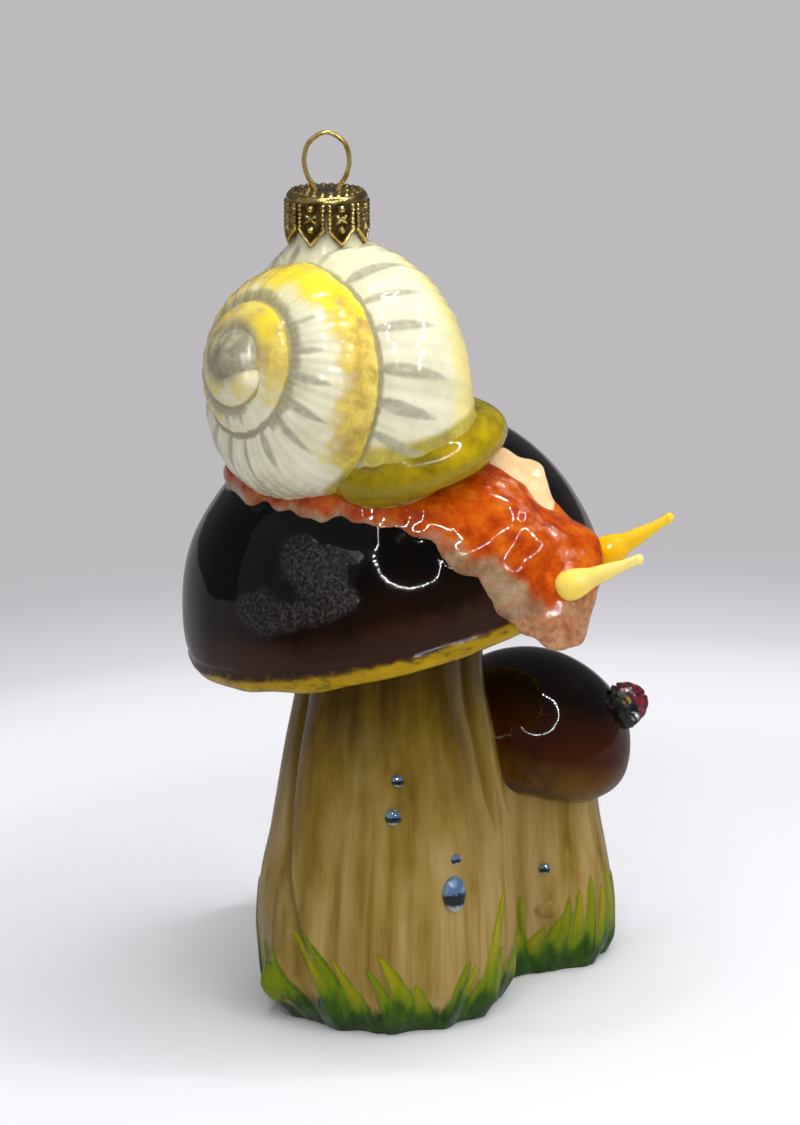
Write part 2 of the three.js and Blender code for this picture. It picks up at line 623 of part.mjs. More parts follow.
// Hanger: one wire, leg to loop to leg
const half = LEG_SPACING / 2;
const splayFrom = -CROWN_SHEET - HANGER_TRAVEL - SEAT_GAP * 2;
const loopMid = LOOP_TOP - WIRE / 2 - LOOP_RADIUS;
const legSide = [
  [half + LEG_SPLAY, -LEG_LENGTH],
  [half + LEG_SPLAY * 0.55, lerp(splayFrom, -LEG_LENGTH, 0.5)],
  [half, splayFrom],
  [half, -CROWN_SHEET * 2.5],
  [half + WIRE * 0.13, WIRE * 0.8],
  [LOOP_RADIUS * 0.82, loopMid - LOOP_RADIUS * 0.72],
  [LOOP_RADIUS, loopMid],
  [LOOP_RADIUS * 0.72, loopMid + LOOP_RADIUS * 0.7],
];
const wirePoints = [
  ...legSide.map(([x, z]) => vec(-x, 0, z)),
  vec(0, 0, loopMid + LOOP_RADIUS),
  ...legSide.map(([x, z]) => vec(x, 0, z)).reverse(),
];
const wirePath = new THREE.CatmullRomCurve3(wirePoints, false, "centripetal");
const wireSection = new THREE.Shape().absarc(0, 0, WIRE / 2, 0, 2 * Math.PI);
const wire = new THREE.ExtrudeGeometry(wireSection, {
  steps: 76,
  curveSegments: 5,
  extrudePath: wirePath,
});
add("hanger", onNeck(solid(wire)), { color: "#d9c58a", roughness: 0.25, metalness: 1 });

export default group;
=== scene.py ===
"""Looks of a blown-glass hanging ornament: a snail on a mushroom, a small mushroom and a ladybird.

Forms are worked out in millimetres as grids of points and become meshes in metres. Every form keeps
marks on its points, such as how far down a cap or how near a seam a point lies, and the paints read
those marks.
"""
import math

import bpy
import numpy as np
from mathutils import Matrix, Vector
from mathutils.bvhtree import BVHTree


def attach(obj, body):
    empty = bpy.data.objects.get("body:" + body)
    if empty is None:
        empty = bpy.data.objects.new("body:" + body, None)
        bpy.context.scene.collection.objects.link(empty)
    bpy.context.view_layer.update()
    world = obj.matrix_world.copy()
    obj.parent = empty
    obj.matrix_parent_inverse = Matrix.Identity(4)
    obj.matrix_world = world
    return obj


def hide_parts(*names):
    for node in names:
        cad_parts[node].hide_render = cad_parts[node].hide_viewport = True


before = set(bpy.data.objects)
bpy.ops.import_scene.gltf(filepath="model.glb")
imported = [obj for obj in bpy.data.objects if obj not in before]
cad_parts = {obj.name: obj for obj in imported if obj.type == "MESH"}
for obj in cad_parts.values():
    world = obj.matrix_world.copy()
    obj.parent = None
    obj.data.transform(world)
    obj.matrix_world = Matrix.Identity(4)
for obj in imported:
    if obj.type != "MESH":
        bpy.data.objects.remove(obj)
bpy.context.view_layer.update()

MM = 0.001
TAU = 2 * math.pi

# Sizes in millimetres and leans in degrees, as the solids have them. A profile pairs a share of the
# length with a size there, and the shell's lists pair a turn of the coil with one.
STEM_HEIGHT = 67
STEM_PROFILE = [(0, 17.4), (0.06, 19.6), (0.18, 20.8), (0.36, 20.1), (0.51, 18.9), (0.66, 17.1),
                (0.81, 15.2), (1, 14.6)]
CAP_CENTRE = np.array([0.8, 0, 67])
CAP_RADIUS, CAP_HEIGHT, CAP_LIP = 33.6, 31.4, 3.4
CAP_LEAN = (1.5, -14.5)
RIM_TUCK = 125
SMALL_FOOT = np.array([25.5, 20.5, 0])
SMALL_HEIGHT = 37.5
SMALL_PROFILE = [(0, 10.2), (0.08, 11.5), (0.267, 12), (0.48, 10.7), (0.693, 9.3), (1, 8.7)]
SMALL_CAP_RADIUS, SMALL_CAP_HEIGHT, SMALL_CAP_LIP = 16.6, 14.4, 6.7
SMALL_CAP_CENTRE = SMALL_FOOT + [-1.8, 0, SMALL_HEIGHT]
SMALL_LEAN = (0, 18)
WEB_HALF = 6.8
FOOT_PATH = [
    (-0.783, -0.06, 0.625), (-0.53, -0.298, 0.759), (-0.173, -0.491, 0.804), (0.207, -0.606, 0.692),
    (0.531, -0.642, 0.436), (0.733, -0.679, 0.24), (0.882, -0.717, 0.091),
]
FOOT_WIDTH = [(0, 2.6), (0.08, 6), (0.25, 10.5), (0.45, 12.4), (0.62, 11.8), (0.76, 10.4), (0.86, 10.2),
              (0.9, 9.5), (0.935, 8.0), (0.965, 5.8), (1, 3.4)]
FOOT_HEIGHT = [(0, 1.5), (0.1, 2.6), (0.4, 2), (0.58, 3), (0.72, 5.6), (0.85, 6), (0.95, 5), (1, 3)]
FOOT_DEPTH = [(0, 2), (0.55, 3), (0.75, 4.5), (0.9, 7), (1, 4)]
LIP_CENTRE = CAP_CENTRE + CAP_RADIUS * np.array([0.0952, -0.4464, 0.8393])
LIP_RADIUS, LIP_ROLL = 11.3, 3.2
LIP_LEAN = (8, -12)
SHELL_ORIGIN = LIP_CENTRE + np.array([-36, -15.4, 19.5])
SHELL_MOUTH = math.radians(-72)
SHELL_REACH = [(0, 12.9), (0.5, 10.6), (1, 9.5), (1.5, 7.9), (2, 6.2), (2.5, 5.2), (3, 3.9)]
SHELL_DROP = [(0, 38.7), (0.5, 30.7), (1, 25.6), (1.5, 21.1), (2, 18.6), (2.5, 16), (3, 14.6)]
SHELL_TUBE = [(0, 10.9), (0.5, 10.4), (1, 9.4), (1.5, 6.9), (2, 4.9), (2.5, 4.2), (3, 3.4)]
APEX_RADIUS, APEX_DROP = 4.4, 14.2
NECK = np.array([-9.3, -7.1, 132.9])
NECK_RADIUS, NECK_BORE = 5.2, 4.1
CROWN_TOP = 133.6
CROWN_MIDDLE = np.array([NECK[0], NECK[1], CROWN_TOP])
CROWN_RADIUS, CROWN_HEIGHT, CROWN_SHEET = 6.3, 7.88, 0.4
PETALS, PETAL_POINT, PETAL_SLIT = 8, 2.6, 0.36
WIRE = 0.76
LEG_SPACING, LEG_SPLAY, LEG_LENGTH, LEG_HOLE = 3.4, 1.5, 17, 0.7
LOOP_RADIUS, LOOP_TOP, HANGER_TRAVEL = 3.47, 9.3, 3
TENTACLE_LENGTH, TENTACLE_BASE, TENTACLE_TIP = 12.4, 2.3, 0.75


# Numbers on grids of points

def unit(v):
    """Vectors made one long."""
    v = np.asarray(v, float)
    return v / np.linalg.norm(v, axis=-1, keepdims=True)


def rise(x, low, high):
    """0 below low, 1 above high and smooth between; low may be the larger."""
    t = np.clip((np.asarray(x, float) - low) / (high - low), 0, 1)
    return t * t * (3 - 2 * t)


def hump(x, middle, half):
    """1 at the middle, falling to 0 smoothly on both sides."""
    return np.exp(-(((np.asarray(x, float) - middle) / half) ** 2))


def through(pairs):
    """A smooth curve through (x, y) pairs."""
    xs, ys = np.array(pairs, float).T
    places = np.arange(len(xs))
    before, after = np.maximum(places - 1, 0), np.minimum(places + 1, len(xs) - 1)
    slopes = (ys[after] - ys[before]) / (xs[after] - xs[before])

    def at(x):
        x = np.clip(x, xs[0], xs[-1])
        k = np.clip(np.searchsorted(xs, x, "right") - 1, 0, len(xs) - 2)
        w = xs[k + 1] - xs[k]
        t = (x - xs[k]) / w
        h = t * t * (3 - 2 * t)
        return ys[k] * (1 - h) + ys[k + 1] * h + w * t * (1 - t) * ((1 - t) * slopes[k] - t * slopes[k + 1])

    return at


def grain(points, size, seed=0):
    """Smooth noise from -1 to 1, with lumps about that many millimetres across."""
    q = np.asarray(points, float) / size + 31.7 * seed
    i = np.floor(q).astype(np.int64)
    f = q - i
    f = f * f * (3 - 2 * f)
    total = np.zeros(q.shape[:-1])
    for corner in np.ndindex(2, 2, 2):
        h = ((i + corner) * np.array([374761393, 668265263, 1440662683])).sum(-1)
        h = (h ^ (h >> 13)) * 1274126177
        h = (h ^ (h >> 16)) & 0xFFFF
        total += (h / 32767.5 - 1) * np.where(corner, f, 1 - f).prod(-1)
    return total


def circle(count, start=0):
    """Evenly spaced angles once round."""
    return np.linspace(start, start + TAU, count, endpoint=False)


def polar(r, turn, z):
    """Points at a radius, a turn about Z and a height."""
    return np.stack(np.broadcast_arrays(r * np.cos(turn), r * np.sin(turn), z), -1)


def lean_matrix(about_x, about_y):
    """A turn by degrees about Y and then X."""
    about_y = Matrix.Rotation(math.radians(about_y), 3, "Y")
    return np.array(Matrix.Rotation(math.radians(about_x), 3, "X") @ about_y)


def leaned(about_x, about_y, centre):
    """The pose that leans a form about X and Y and sets it at a centre, as a function of its points."""
    turn = lean_matrix(about_x, about_y)
    return lambda p: p @ turn.T + centre


def pose_on(point, normal, along):
    """The pose whose Z is the normal and whose Y is as near as can be to a direction."""
    normal = unit(normal)
    x = unit(np.cross(along, normal))
    basis = np.stack([x, np.cross(normal, x), normal])
    return lambda p: p @ basis + point


def direction(pose, v):
    """Which way a pose turns a vector."""
    return pose(np.asarray(v, float)) - pose(np.zeros(3))


class Form:
    """A grid of points, rings by places round each ring, with its marks and closed ends."""

    def __init__(self, name, grid, marks=None, ends=(True, True)):
        self.name, self.marks, self.ends = name, dict(marks or {}), ends
        n, m = grid.shape[:2]
        self.shape = (n, m)
        self.points = grid.reshape(-1, 3).astype(float)
        i = np.arange(n - 1)[:, None] * m
        j = np.arange(m)[None, :]
        k = (j + 1) % m
        self.quads = np.stack([i + j, i + k, i + m + k, i + m + j], -1).reshape(-1, 4)
        self.tris = np.zeros((0, 3), int)
        for wanted, ring, flip in ((ends[0], 0, True), (ends[1], n - 1, False)):
            if wanted:
                centre = len(self.points)
                row = self.points[ring * m:(ring + 1) * m]
                self.points = np.vstack([self.points, row.mean(0)])
                a, b = ring * m + np.arange(m), ring * m + (np.arange(m) + 1) % m
                fan = np.stack([np.full(m, centre), b, a] if flip else [np.full(m, centre), a, b], -1)
                self.tris = np.vstack([self.tris, fan])
        if self.volume() < 0:
            self.quads, self.tris = self.quads[:, ::-1], self.tris[:, ::-1]

    def triangles(self):
        return np.vstack([self.quads[:, [0, 1, 2]], self.quads[:, [0, 2, 3]], self.tris])

    def volume(self):
        a, b, c = (self.points[self.triangles()[:, i]] for i in range(3))
        return float((a * np.cross(b, c)).sum())

    def normals(self):
        t = self.triangles()
        a, b, c = (self.points[t[:, i]] for i in range(3))
        face = np.cross(b - a, c - a)
        total = np.zeros_like(self.points)
        for i in range(3):
            np.add.at(total, t[:, i], face)
        return total / np.maximum(np.linalg.norm(total, axis=1, keepdims=True), 1e-12)

    def push(self, amount):
        """Moves the grid's points along their normals; amount is over the grid."""
        n, m = self.shape
        self.points[:n * m] += self.normals()[:n * m] * np.asarray(amount).reshape(-1, 1)

    def grid(self):
        """The points on the rings, without the middles of the ends."""
        n, m = self.shape
        return self.points[:n * m].reshape(n, m, 3)

    def tree(self):
        return BVHTree.FromPolygons(self.points.tolist(), self.triangles().tolist())


def round_creases(forms, reaches):
    """Fills the creases between forms of one glass: each surface swells where another comes within reach."""
    trees = {f.name: f.tree() for f in forms}
    boxes = {f.name: (f.points.min(0), f.points.max(0)) for f in forms}
    swell = {f.name: np.zeros(len(f.points)) for f in forms}
    for form in forms:
        for other in forms:
            reach = reaches.get(frozenset((form.name, other.name)))
            if other is form or not reach:
                continue
            low, high = boxes[other.name]
            near = np.where(((form.points > low - reach) & (form.points < high + reach)).all(1))[0]
            find = trees[other.name].find_nearest
            for i in near:
                p = Vector(form.points[i])
                spot, normal, _, gap = find(p, reach)
                if spot is None:
                    continue
                if (p - spot).dot(normal) >= 0:
                    lift = (reach - gap) ** 2 / (4 * reach)
                else:
                    lift = reach / 4 * math.exp(-4 * gap / reach)
                swell[form.name][i] = max(swell[form.name][i], lift)
    for form in forms:
        form.points += form.normals() * swell[form.name][:, None]
        # The crease mark is read by the paints as painted shade
        form.marks["crease"] = swell[form.name]


def lathe(name, profile, pose, around, marks=None, ends=(True, True)):
    """A turned form about its own Z, set by a pose."""
    profile = np.asarray(profile, float)
    grid = polar(profile[:, :1], circle(around), profile[:, 1:])
    values = {k: np.repeat(np.asarray(v, float)[:, None], around, 1) for k, v in (marks or {}).items()}
    return Form(name, pose(grid), values, ends)


def piece(form, paint, body, node):
    """The mesh of a form, riding on its body and standing for a node."""
    mesh = bpy.data.meshes.new(form.name)
    mesh.from_pydata((form.points * MM).tolist(), [], form.quads.tolist() + form.tris.tolist())
    mesh.polygons.foreach_set("use_smooth", [True] * len(mesh.polygons))
    mesh.materials.append(paint.material)
    n, m = form.shape
    closed = [ring for ring, end in zip((0, n - 1), form.ends) if end]
    for mark, values in form.marks.items():
        values = np.asarray(values, float).reshape(-1)
        full = np.zeros(len(form.points))
        full[:len(values)] = values
        for k, ring in enumerate(closed):
            full[n * m + k] = full[ring * m:(ring + 1) * m].mean()
        mesh.attributes.new(mark, "FLOAT", "POINT").data.foreach_set("value", full)
    obj = bpy.data.objects.new(form.name, mesh)
    bpy.context.scene.collection.objects.link(obj)
    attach(obj, body)
    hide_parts(node)


# Paints

def ink(code):
    """A colour written as #rrggbb, in linear light."""
    parts = [int(code[i:i + 2], 16) / 255 for i in (1, 3, 5)]
    return (*[c / 12.92 if c <= 0.04045 else ((c + 0.055) / 1.055) ** 2.4 for c in parts], 1)


class Value:
    """A shader value; operators on it add Math nodes."""

    def __init__(self, paint, socket):
        self.paint, self.socket = paint, socket

    def math(self, operation, *terms):
        return self.paint.node("ShaderNodeMath", {"operation": operation}, dict(enumerate(terms)))

    def __add__(self, other):
        return self.math("ADD", self, other)

    __radd__ = __add__

    def __sub__(self, other):
        return self.math("SUBTRACT", self, other)

    def __rsub__(self, other):
        return self.math("SUBTRACT", other, self)

    def __mul__(self, other):
        return self.math("MULTIPLY", self, other)

    __rmul__ = __mul__

    def __truediv__(self, other):
        return self.math("DIVIDE", self, other)

    def most(self, other):
        """The larger of two values."""
        return self.math("MAXIMUM", self, other)

    def rise(self, low, high):
        """0 below low, 1 above high and smooth between; low may be the larger."""
        if low > high:
            return 1 - self.rise(high, low)
        sockets = {0: self, 1: low, 2: high, 3: 0, 4: 1}
        return self.paint.node("ShaderNodeMapRange", {"interpolation_type": "SMOOTHSTEP"}, sockets)


class Paint:
    """One procedural material, with a colour that is laid on in coats."""

    def __init__(self, name, **constants):
        self.material = bpy.data.materials.new(name)
        self.material.use_nodes = True
        self.tree = self.material.node_tree
        self.shader = self.tree.nodes["Principled BSDF"]
        self.colour = None
        for word, value in constants.items():
            self.socket(word).default_value = value

    def socket(self, word):
        """The shader's socket for a word such as coat_ior."""
        return self.shader.inputs[word.replace("_", " ").title().replace("Ior", "IOR")]

    def node(self, kind, settings=None, sockets=None, out=0):
        """A node of that kind, with its settings made first and then its sockets' values or links."""
        made = self.tree.nodes.new(kind)
        for key, value in (settings or {}).items():
            if key == "stops":
                elements = made.color_ramp.elements
                while len(elements) < len(value):
                    elements.new(0.5)
                for element, (place, colour) in zip(elements, value):
                    element.position, element.color = place, colour
            else:
                setattr(made, key, value)
        for key, value in (sockets or {}).items():
            if isinstance(value, Value):
                self.tree.links.new(value.socket, made.inputs[key])
            else:
                made.inputs[key].default_value = value
        return Value(self, made.outputs[out])

    def mark(self, name):
        return self.node("ShaderNodeAttribute", {"attribute_name": name}, out=2)

    def place(self, stretch=(1, 1, 1)):
        """Place on the object in millimetres, squeezed by a stretch along each axis."""
        spot = self.node("ShaderNodeTexCoord", out=3)
        scale = tuple(1000 / s for s in stretch)
        return self.node("ShaderNodeVectorMath", {"operation": "MULTIPLY"}, {0: spot, 1: scale})

    def noise(self, size, detail=3, stretch=(1, 1, 1), rough=0.5, warp=0):
        """Noise from 0 to 1 with lumps about that many millimetres across."""
        sockets = {"Scale": 1 / size, "Detail": detail, "Roughness": rough, "Distortion": warp}
        return self.node("ShaderNodeTexNoise", None, {"Vector": self.place(stretch), **sockets})

    def mix(self, share, a, b):
        return self.node("ShaderNodeMix", {"data_type": "RGBA"}, {0: share, 6: a, 7: b}, out=2)

    def lay(self, share, coat):
        """Lays a share of a colour, written as #rrggbb or worked out, over the colour so far."""
        self.colour = self.mix(share, self.colour, ink(coat) if isinstance(coat, str) else coat)

    def ramp(self, value, stops):
        return self.node("ShaderNodeValToRGB", {"stops": [(p, ink(c)) for p, c in stops]}, {0: value})

    def bump(self, height, depth, strength, under=None):
        """A normal from a height of that many millimetres, on top of another where one is given."""
        sockets = {"Strength": strength, "Distance": depth * MM, "Height": height}
        return self.node("ShaderNodeBump", None, {**sockets, "Normal": under} if under else sockets)

    def wear(self, **sockets):
        """Links what varies over the surface to the shader."""
        for word, value in sockets.items():
            self.tree.links.new(value.socket, self.socket(word))
        return self


# Clear lacquer over the paint, thicker on the snail and its shell
GLAZE = {"specular_ior_level": 0.0, "coat_weight": 1.0, "coat_roughness": 0.03, "coat_ior": 1.4}
WET = {**GLAZE, "coat_ior": 1.55}


def cap_paint(name, dark, brown, warm, rim, rim_streak, warms, frost):
    """Dark lacquer that warms to chestnut towards the rim, a brown band and an ochre rolled rim."""
    p = Paint(name, specular_ior_level=0.3)
    down = p.mark("down")
    shade = down + (p.noise(9, 3) - 0.5) * 0.16
    p.colour = p.ramp(shade, [(0.0, dark), (warms, dark), (0.45 * warms + 0.54, brown), (0.99, warm)])
    cloud = p.noise(6, 5, stretch=(1, 1, 2.2), rough=0.6).rise(0.42, 0.72)
    p.lay(cloud * down.rise(0.55, 0.9) * 0.6, "#120602")
    streak = p.noise(1.6, 5, stretch=(2.4, 2.4, 1.0), rough=0.65)
    edge = p.mix(streak.rise(0.44, 0.66), ink(rim), ink(rim_streak))
    edge = p.mix(p.noise(5, 3).rise(0.5, 0.7) * 0.55, edge, ink("#c0a008"))
    ragged = down + (p.noise(2.2, 5, rough=0.65) - 0.5) * 0.09
    p.lay(ragged.rise(0.86, 0.96) * 0.75, "#33241d")
    p.lay(ragged.rise(0.99, 1.05), edge)
    p.lay(down.rise(1.35, 1.7) * 0.65, "#453808")
    patch = p.mark("frost") * frost
    p.lay(patch * p.noise(0.6, 5, rough=0.7).rise(0.42, 0.7) * 0.3, "#86807c")
    skin = p.bump(p.noise(3.5, 2) * 0.4 + p.noise(11, 2), 0.22, 0.4)
    frosting = p.noise(0.7, 6, rough=0.75, warp=1.6) * p.mark("frost")
    normal = p.bump(frosting, 0.45, frost, skin)
    return p.wear(base_color=p.colour, roughness=patch * 0.2 + 0.05, normal=normal)


def stem_paint(name):
    """Olive-brown brush streaks over beige, darker towards the cap, painted shade in the folds and under the
    cap, grass at the foot.
    """
    p = Paint(name, roughness=0.42, **GLAZE)
    height = p.mark("height")
    broad = p.noise(2.8, 4, stretch=(1, 1, 40), rough=0.56, warp=0.2)
    fine = p.noise(0.7, 4, stretch=(1, 1, 30), rough=0.6)
    wash = p.noise(8, 3, stretch=(1, 1, 2.5))
    low = p.ramp(broad, [(0.25, "#6a5112"), (0.43, "#907634"), (0.6, "#a78d52"), (0.85, "#bca679")])
    high = p.ramp(broad, [(0.25, "#352602"), (0.42, "#5a4203"), (0.58, "#785d0b"), (0.85, "#917a28")])
    p.colour = p.mix((height + (wash - 0.5) * 0.55 + (broad - 0.5) * 0.4).rise(0.3, 0.85), low, high)
    p.lay(fine.rise(0.56, 0.76) * 0.2, "#463206")
    p.lay(fine.rise(0.44, 0.24) * 0.16, "#b09a68")
    p.lay(wash.rise(0.54, 0.74) * 0.45, "#775c0c")
    # Painted shade in the stem's folds
    p.lay(p.mark("fold") * 0.65, "#5a4404")
    # Painted shade just under the cap
    p.lay(height.rise(0.6, 0.95) * 0.7, "#2e2102")
    tone = p.mark("tone") + (p.noise(1.3, 4, stretch=(1, 1, 5)) - 0.5) * 0.6
    green = p.ramp(tone, [
        (0.0, "#1a330e"), (0.22, "#34540a"), (0.45, "#647a04"), (0.68, "#767f05"), (1.0, "#9a9010")])
    cover = (p.mark("grass") + (p.noise(1.1, 4, stretch=(1, 1, 4)) - 0.5) * 0.9).rise(0.12, 0.85)
    p.lay(cover, green)
    skin = p.bump(broad * 0.6 + fine * 0.4, 0.1, 0.2)
    return p.wear(base_color=p.colour, normal=skin)


def snail_paint(name):
    """Orange-red back with pink warts, a beige-grey skirt with pink veins, a wrinkled snout and painted shade
    in the creases.
    """
    p = Paint(name, roughness=0.38, **WET)
    mottle = p.noise(3.2, 5, rough=0.62)
    fine = p.noise(1.0, 4, rough=0.6)
    orange = p.ramp(mottle, [
        (0.2, "#742001"), (0.38, "#a03401"), (0.52, "#bc4b02"), (0.66, "#ca650e"), (0.85, "#d88e3c")])
    wash = p.noise(4.5, 3)
    skirt = p.ramp(wash * 0.4 + mottle * 0.4 + fine * 0.2, [
        (0.32, "#664a2e"), (0.45, "#8a6c4c"), (0.57, "#a98d6c"), (0.75, "#c2ac92")])
    veins = p.noise(2.6, 4, rough=0.6, warp=1.0)
    skirt = p.mix((veins.rise(0.44, 0.5) * veins.rise(0.58, 0.52)) * 0.4, skirt, ink("#a8664a"))
    peach = p.ramp(mottle, [(0.3, "#eab680"), (0.6, "#f2d09e"), (0.9, "#f7e3ba")])
    snout = p.ramp(fine * 0.6 + mottle * 0.4, [
        (0.28, "#86462a"), (0.46, "#ae7350"), (0.62, "#c2986e"), (0.8, "#c6ac80")])
    edge = p.mark("skirt") + (mottle - 0.5) * 0.7 + (wash - 0.5) * 0.9
    p.colour = p.mix(edge.rise(0.25, 0.85), orange, skirt)
    dabs = p.noise(1.9, 2)
    warts = p.mark("warts") * 0.55 + (dabs - 0.5) * 1.8
    p.lay(warts.rise(0.4, 0.75) * 0.6, "#d07e5c")
    p.lay((p.mark("peach") + (mottle - 0.5) * 0.35).rise(0.4, 0.62), peach)
    p.lay((p.mark("snout") + (mottle - 0.5) * 0.5).rise(0.35, 0.8), snout)
    # Painted shade in the creases where the foot meets the cap, shell and lip
    p.lay(p.mark("crease").rise(0.2, 0.6) * 0.5, "#4a2410")
    skin = p.bump(mottle * 0.5 + fine * 0.5, 0.3, 0.35)
    return p.wear(base_color=p.colour, normal=skin)


def shell_paint(name):
    """Ivory glaze with soft grey-olive strokes off the seams, yellow mottling, a grey apex, and painted shade
    along the seams and low on the shell.
    """
    p = Paint(name, roughness=0.36, **WET)
    broad = p.noise(5, 4)
    fine = p.noise(1.2, 4)
    p.colour = p.ramp(broad, [(0.3, "#d6d2b0"), (0.5, "#e5e1c2"), (0.75, "#eeead0")])
    p.lay((p.mark("warm") + (broad - 0.5) * 0.5).rise(0.2, 0.85) * 0.85, "#ecde8a")
    dab = p.noise(3.2, 4, rough=0.58)
    gold = p.ramp(dab, [(0.28, "#9c7a14"), (0.42, "#c29f26"), (0.55, "#dcc044"), (0.75, "#ecd966")])
    p.lay((p.mark("ochre") + (dab - 0.5) * 1.5).rise(0.2, 0.8) * 0.88, gold)
    p.lay((p.mark("sun") + (dab - 0.5) * 1.3).rise(0.3, 0.8) * 0.85, "#f4d832")
    olive = p.ramp(dab, [(0.3, "#80720c"), (0.5, "#a6961c"), (0.7, "#c6b448")])
    p.lay((p.mark("olive") + (dab - 0.5) * 0.5).rise(0.3, 0.8) * 0.9, olive)
    # Painted shade: grey-olive along the seams between whorls and over the lowest part of the shell
    p.lay((p.mark("seam") + (fine - 0.5) * 0.7 + (dab - 0.5) * 0.8).rise(0.3, 0.9) * 0.72, "#8c8464")
    stroke = (p.mark("stroke") + (p.noise(1.1, 4) - 0.5) * 0.45).rise(0.2, 0.85)
    p.lay(stroke * 0.82, p.ramp(fine, [(0.3, "#98947a"), (0.7, "#b8b49a")]))
    tip = p.ramp(dab, [(0.3, "#67624c"), (0.48, "#88836a"), (0.64, "#b2ac8c"), (0.85, "#d6cc90")])
    p.lay((p.mark("apex") + (dab - 0.5) * 0.9).rise(0.25, 0.75) * 0.9, tip)
    skin = p.bump(broad * 0.4 + fine * 0.3, 0.2, 0.25)
    return p.wear(base_color=p.colour, normal=skin)


def lip_paint(name):
    """Olive glaze, duller on the outside, with painted shade in the creases."""
    p = Paint(name, roughness=0.3, **WET)
    dab = p.noise(4, 4, rough=0.6)
    p.colour = p.ramp(dab, [(0.25, "#6a5504"), (0.42, "#8f7b06"), (0.6, "#ae9408"), (0.85, "#bea01c")])
    p.lay(p.mark("outer").rise(0.35, 0.9) * 0.6, "#9a8626")
    # Painted shade in the creases
    p.lay(p.mark("crease").rise(0.35, 0.9) * 0.3, "#5d500a")
    return p.wear(base_color=p.colour, normal=p.bump(dab, 0.2, 0.25))


def horn_paint(name, pale, deep):
    """Yellow glass, paler towards the tip."""
    p = Paint(name, roughness=0.28, **GLAZE)
    dab = p.noise(2.5, 4)
    colour = p.mix(p.mark("along") + (dab - 0.5) * 0.5, ink(deep), ink(pale))
    return p.wear(base_color=colour)


def gold_paint(name, bright, dark, roughness, size, stamped=0.0, metallic=1.0):
    """Plated brass, darker where hands and lacquer have dulled it and between the stamped beads."""
    p = Paint(name, metallic=metallic)
    dull = p.noise(size, 5, rough=0.65)
    worn = dull.rise(0.35, 0.68) * (1 - 0.4 * stamped) + (1 - p.mark("relief")) * 0.6 * stamped
    colour = p.mix(worn, ink(bright), ink(dark))
    skin = p.bump(dull, 0.05, 0.3)
    return p.wear(base_color=colour, roughness=dull * 0.2 + roughness * 0.6, normal=skin)


def stone_paint(name, top, middle, low):
    """Crystal with a painted reflection: a bright upper half, a dark band like a horizon and a pale lower
    edge.
    """
    p = Paint(name, metallic=0.75, roughness=0.06, coat_weight=1.0, coat_roughness=0.01)
    # Painted reflection: colour runs by height on the stone from a pale lower edge through a dark band to a
    # bright top
    up = p.mark("up") + (p.noise(0.5, 2) - 0.5) * 0.25
    colour = p.ramp(up, [(0.0, low), (0.16, low), (0.24, middle), (0.5, middle), (0.56, top), (0.9, top)])
    return p.wear(base_color=colour, roughness=p.noise(0.6, 2) * 0.08)


def beetle_paint(name, light, dark, size, roughness):
    """Dark pressed glass with lighter dabs of that size."""
    p = Paint(name, roughness=roughness, coat_weight=1.0, coat_roughness=0.04)
    dab = p.noise(size, 4)
    colour = p.mix(dab.rise(0.4, 0.65), ink(dark), ink(light))
    return p.wear(base_color=colour, normal=p.bump(dab, 0.1, 0.5))


# Stems and grass

stem_curve, small_curve = through(STEM_PROFILE), through(SMALL_PROFILE)
rng = np.random.default_rng(11)

# Blades at the front: root turn, tip turn in degrees, height, half width, tone at the tip
FRONT_BLADES = [
    (-86, -90, 20, 2.4, 0.8), (-74, -70, 12, 2.6, 0.62), (-60, -64, 11, 2.8, 0.66), (-42, -58, 12, 2.4, 0.55),
    (-22, -46, 16.5, 2.3, 0.92), (-14, -42, 17, 2.3, 0.6), (-8, -26, 13, 2.0, 1.0), (4, -9, 12, 2.0, 0.7),
    (12, -4, 14.5, 2.7, 0.9), (20, 12, 9, 2.2, 0.8), (29, 38, 12, 2.1, 0.58), (35, 42, 11, 1.7, 0.9),
    (42, 47, 8, 1.8, 0.6), (48, 64, 20.5, 2.7, 0.88), (56, 61, 12, 2.2, 0.65), (64, 68, 9, 2.0, 0.5),
]
SMALL_BLADES = [
    (-48, -36, 7, 1.9, 0.55), (-34, -16, 7.5, 2.0, 0.8), (-18, 2, 8.5, 2.0, 0.85), (-4, 14, 10, 1.9, 0.75),
    (12, 22, 13, 2.0, 0.7), (26, 31, 14, 2.0, 0.9), (38, 44, 16, 2.1, 0.72), (52, 57, 14, 2.0, 0.85),
    (66, 69, 17, 2.1, 0.78), (82, 80, 14, 2.0, 0.7),
]


def back_blades(start, stop, step):
    """Blades for the sides that the front doesn't show."""
    return [
        (t + rng.uniform(-3, 3), t + rng.uniform(-10, 10), rng.uniform(8, 15), rng.uniform(1.8, 2.5),
         rng.uniform(0.55, 1))
        for t in np.arange(start, stop, step)
    ]


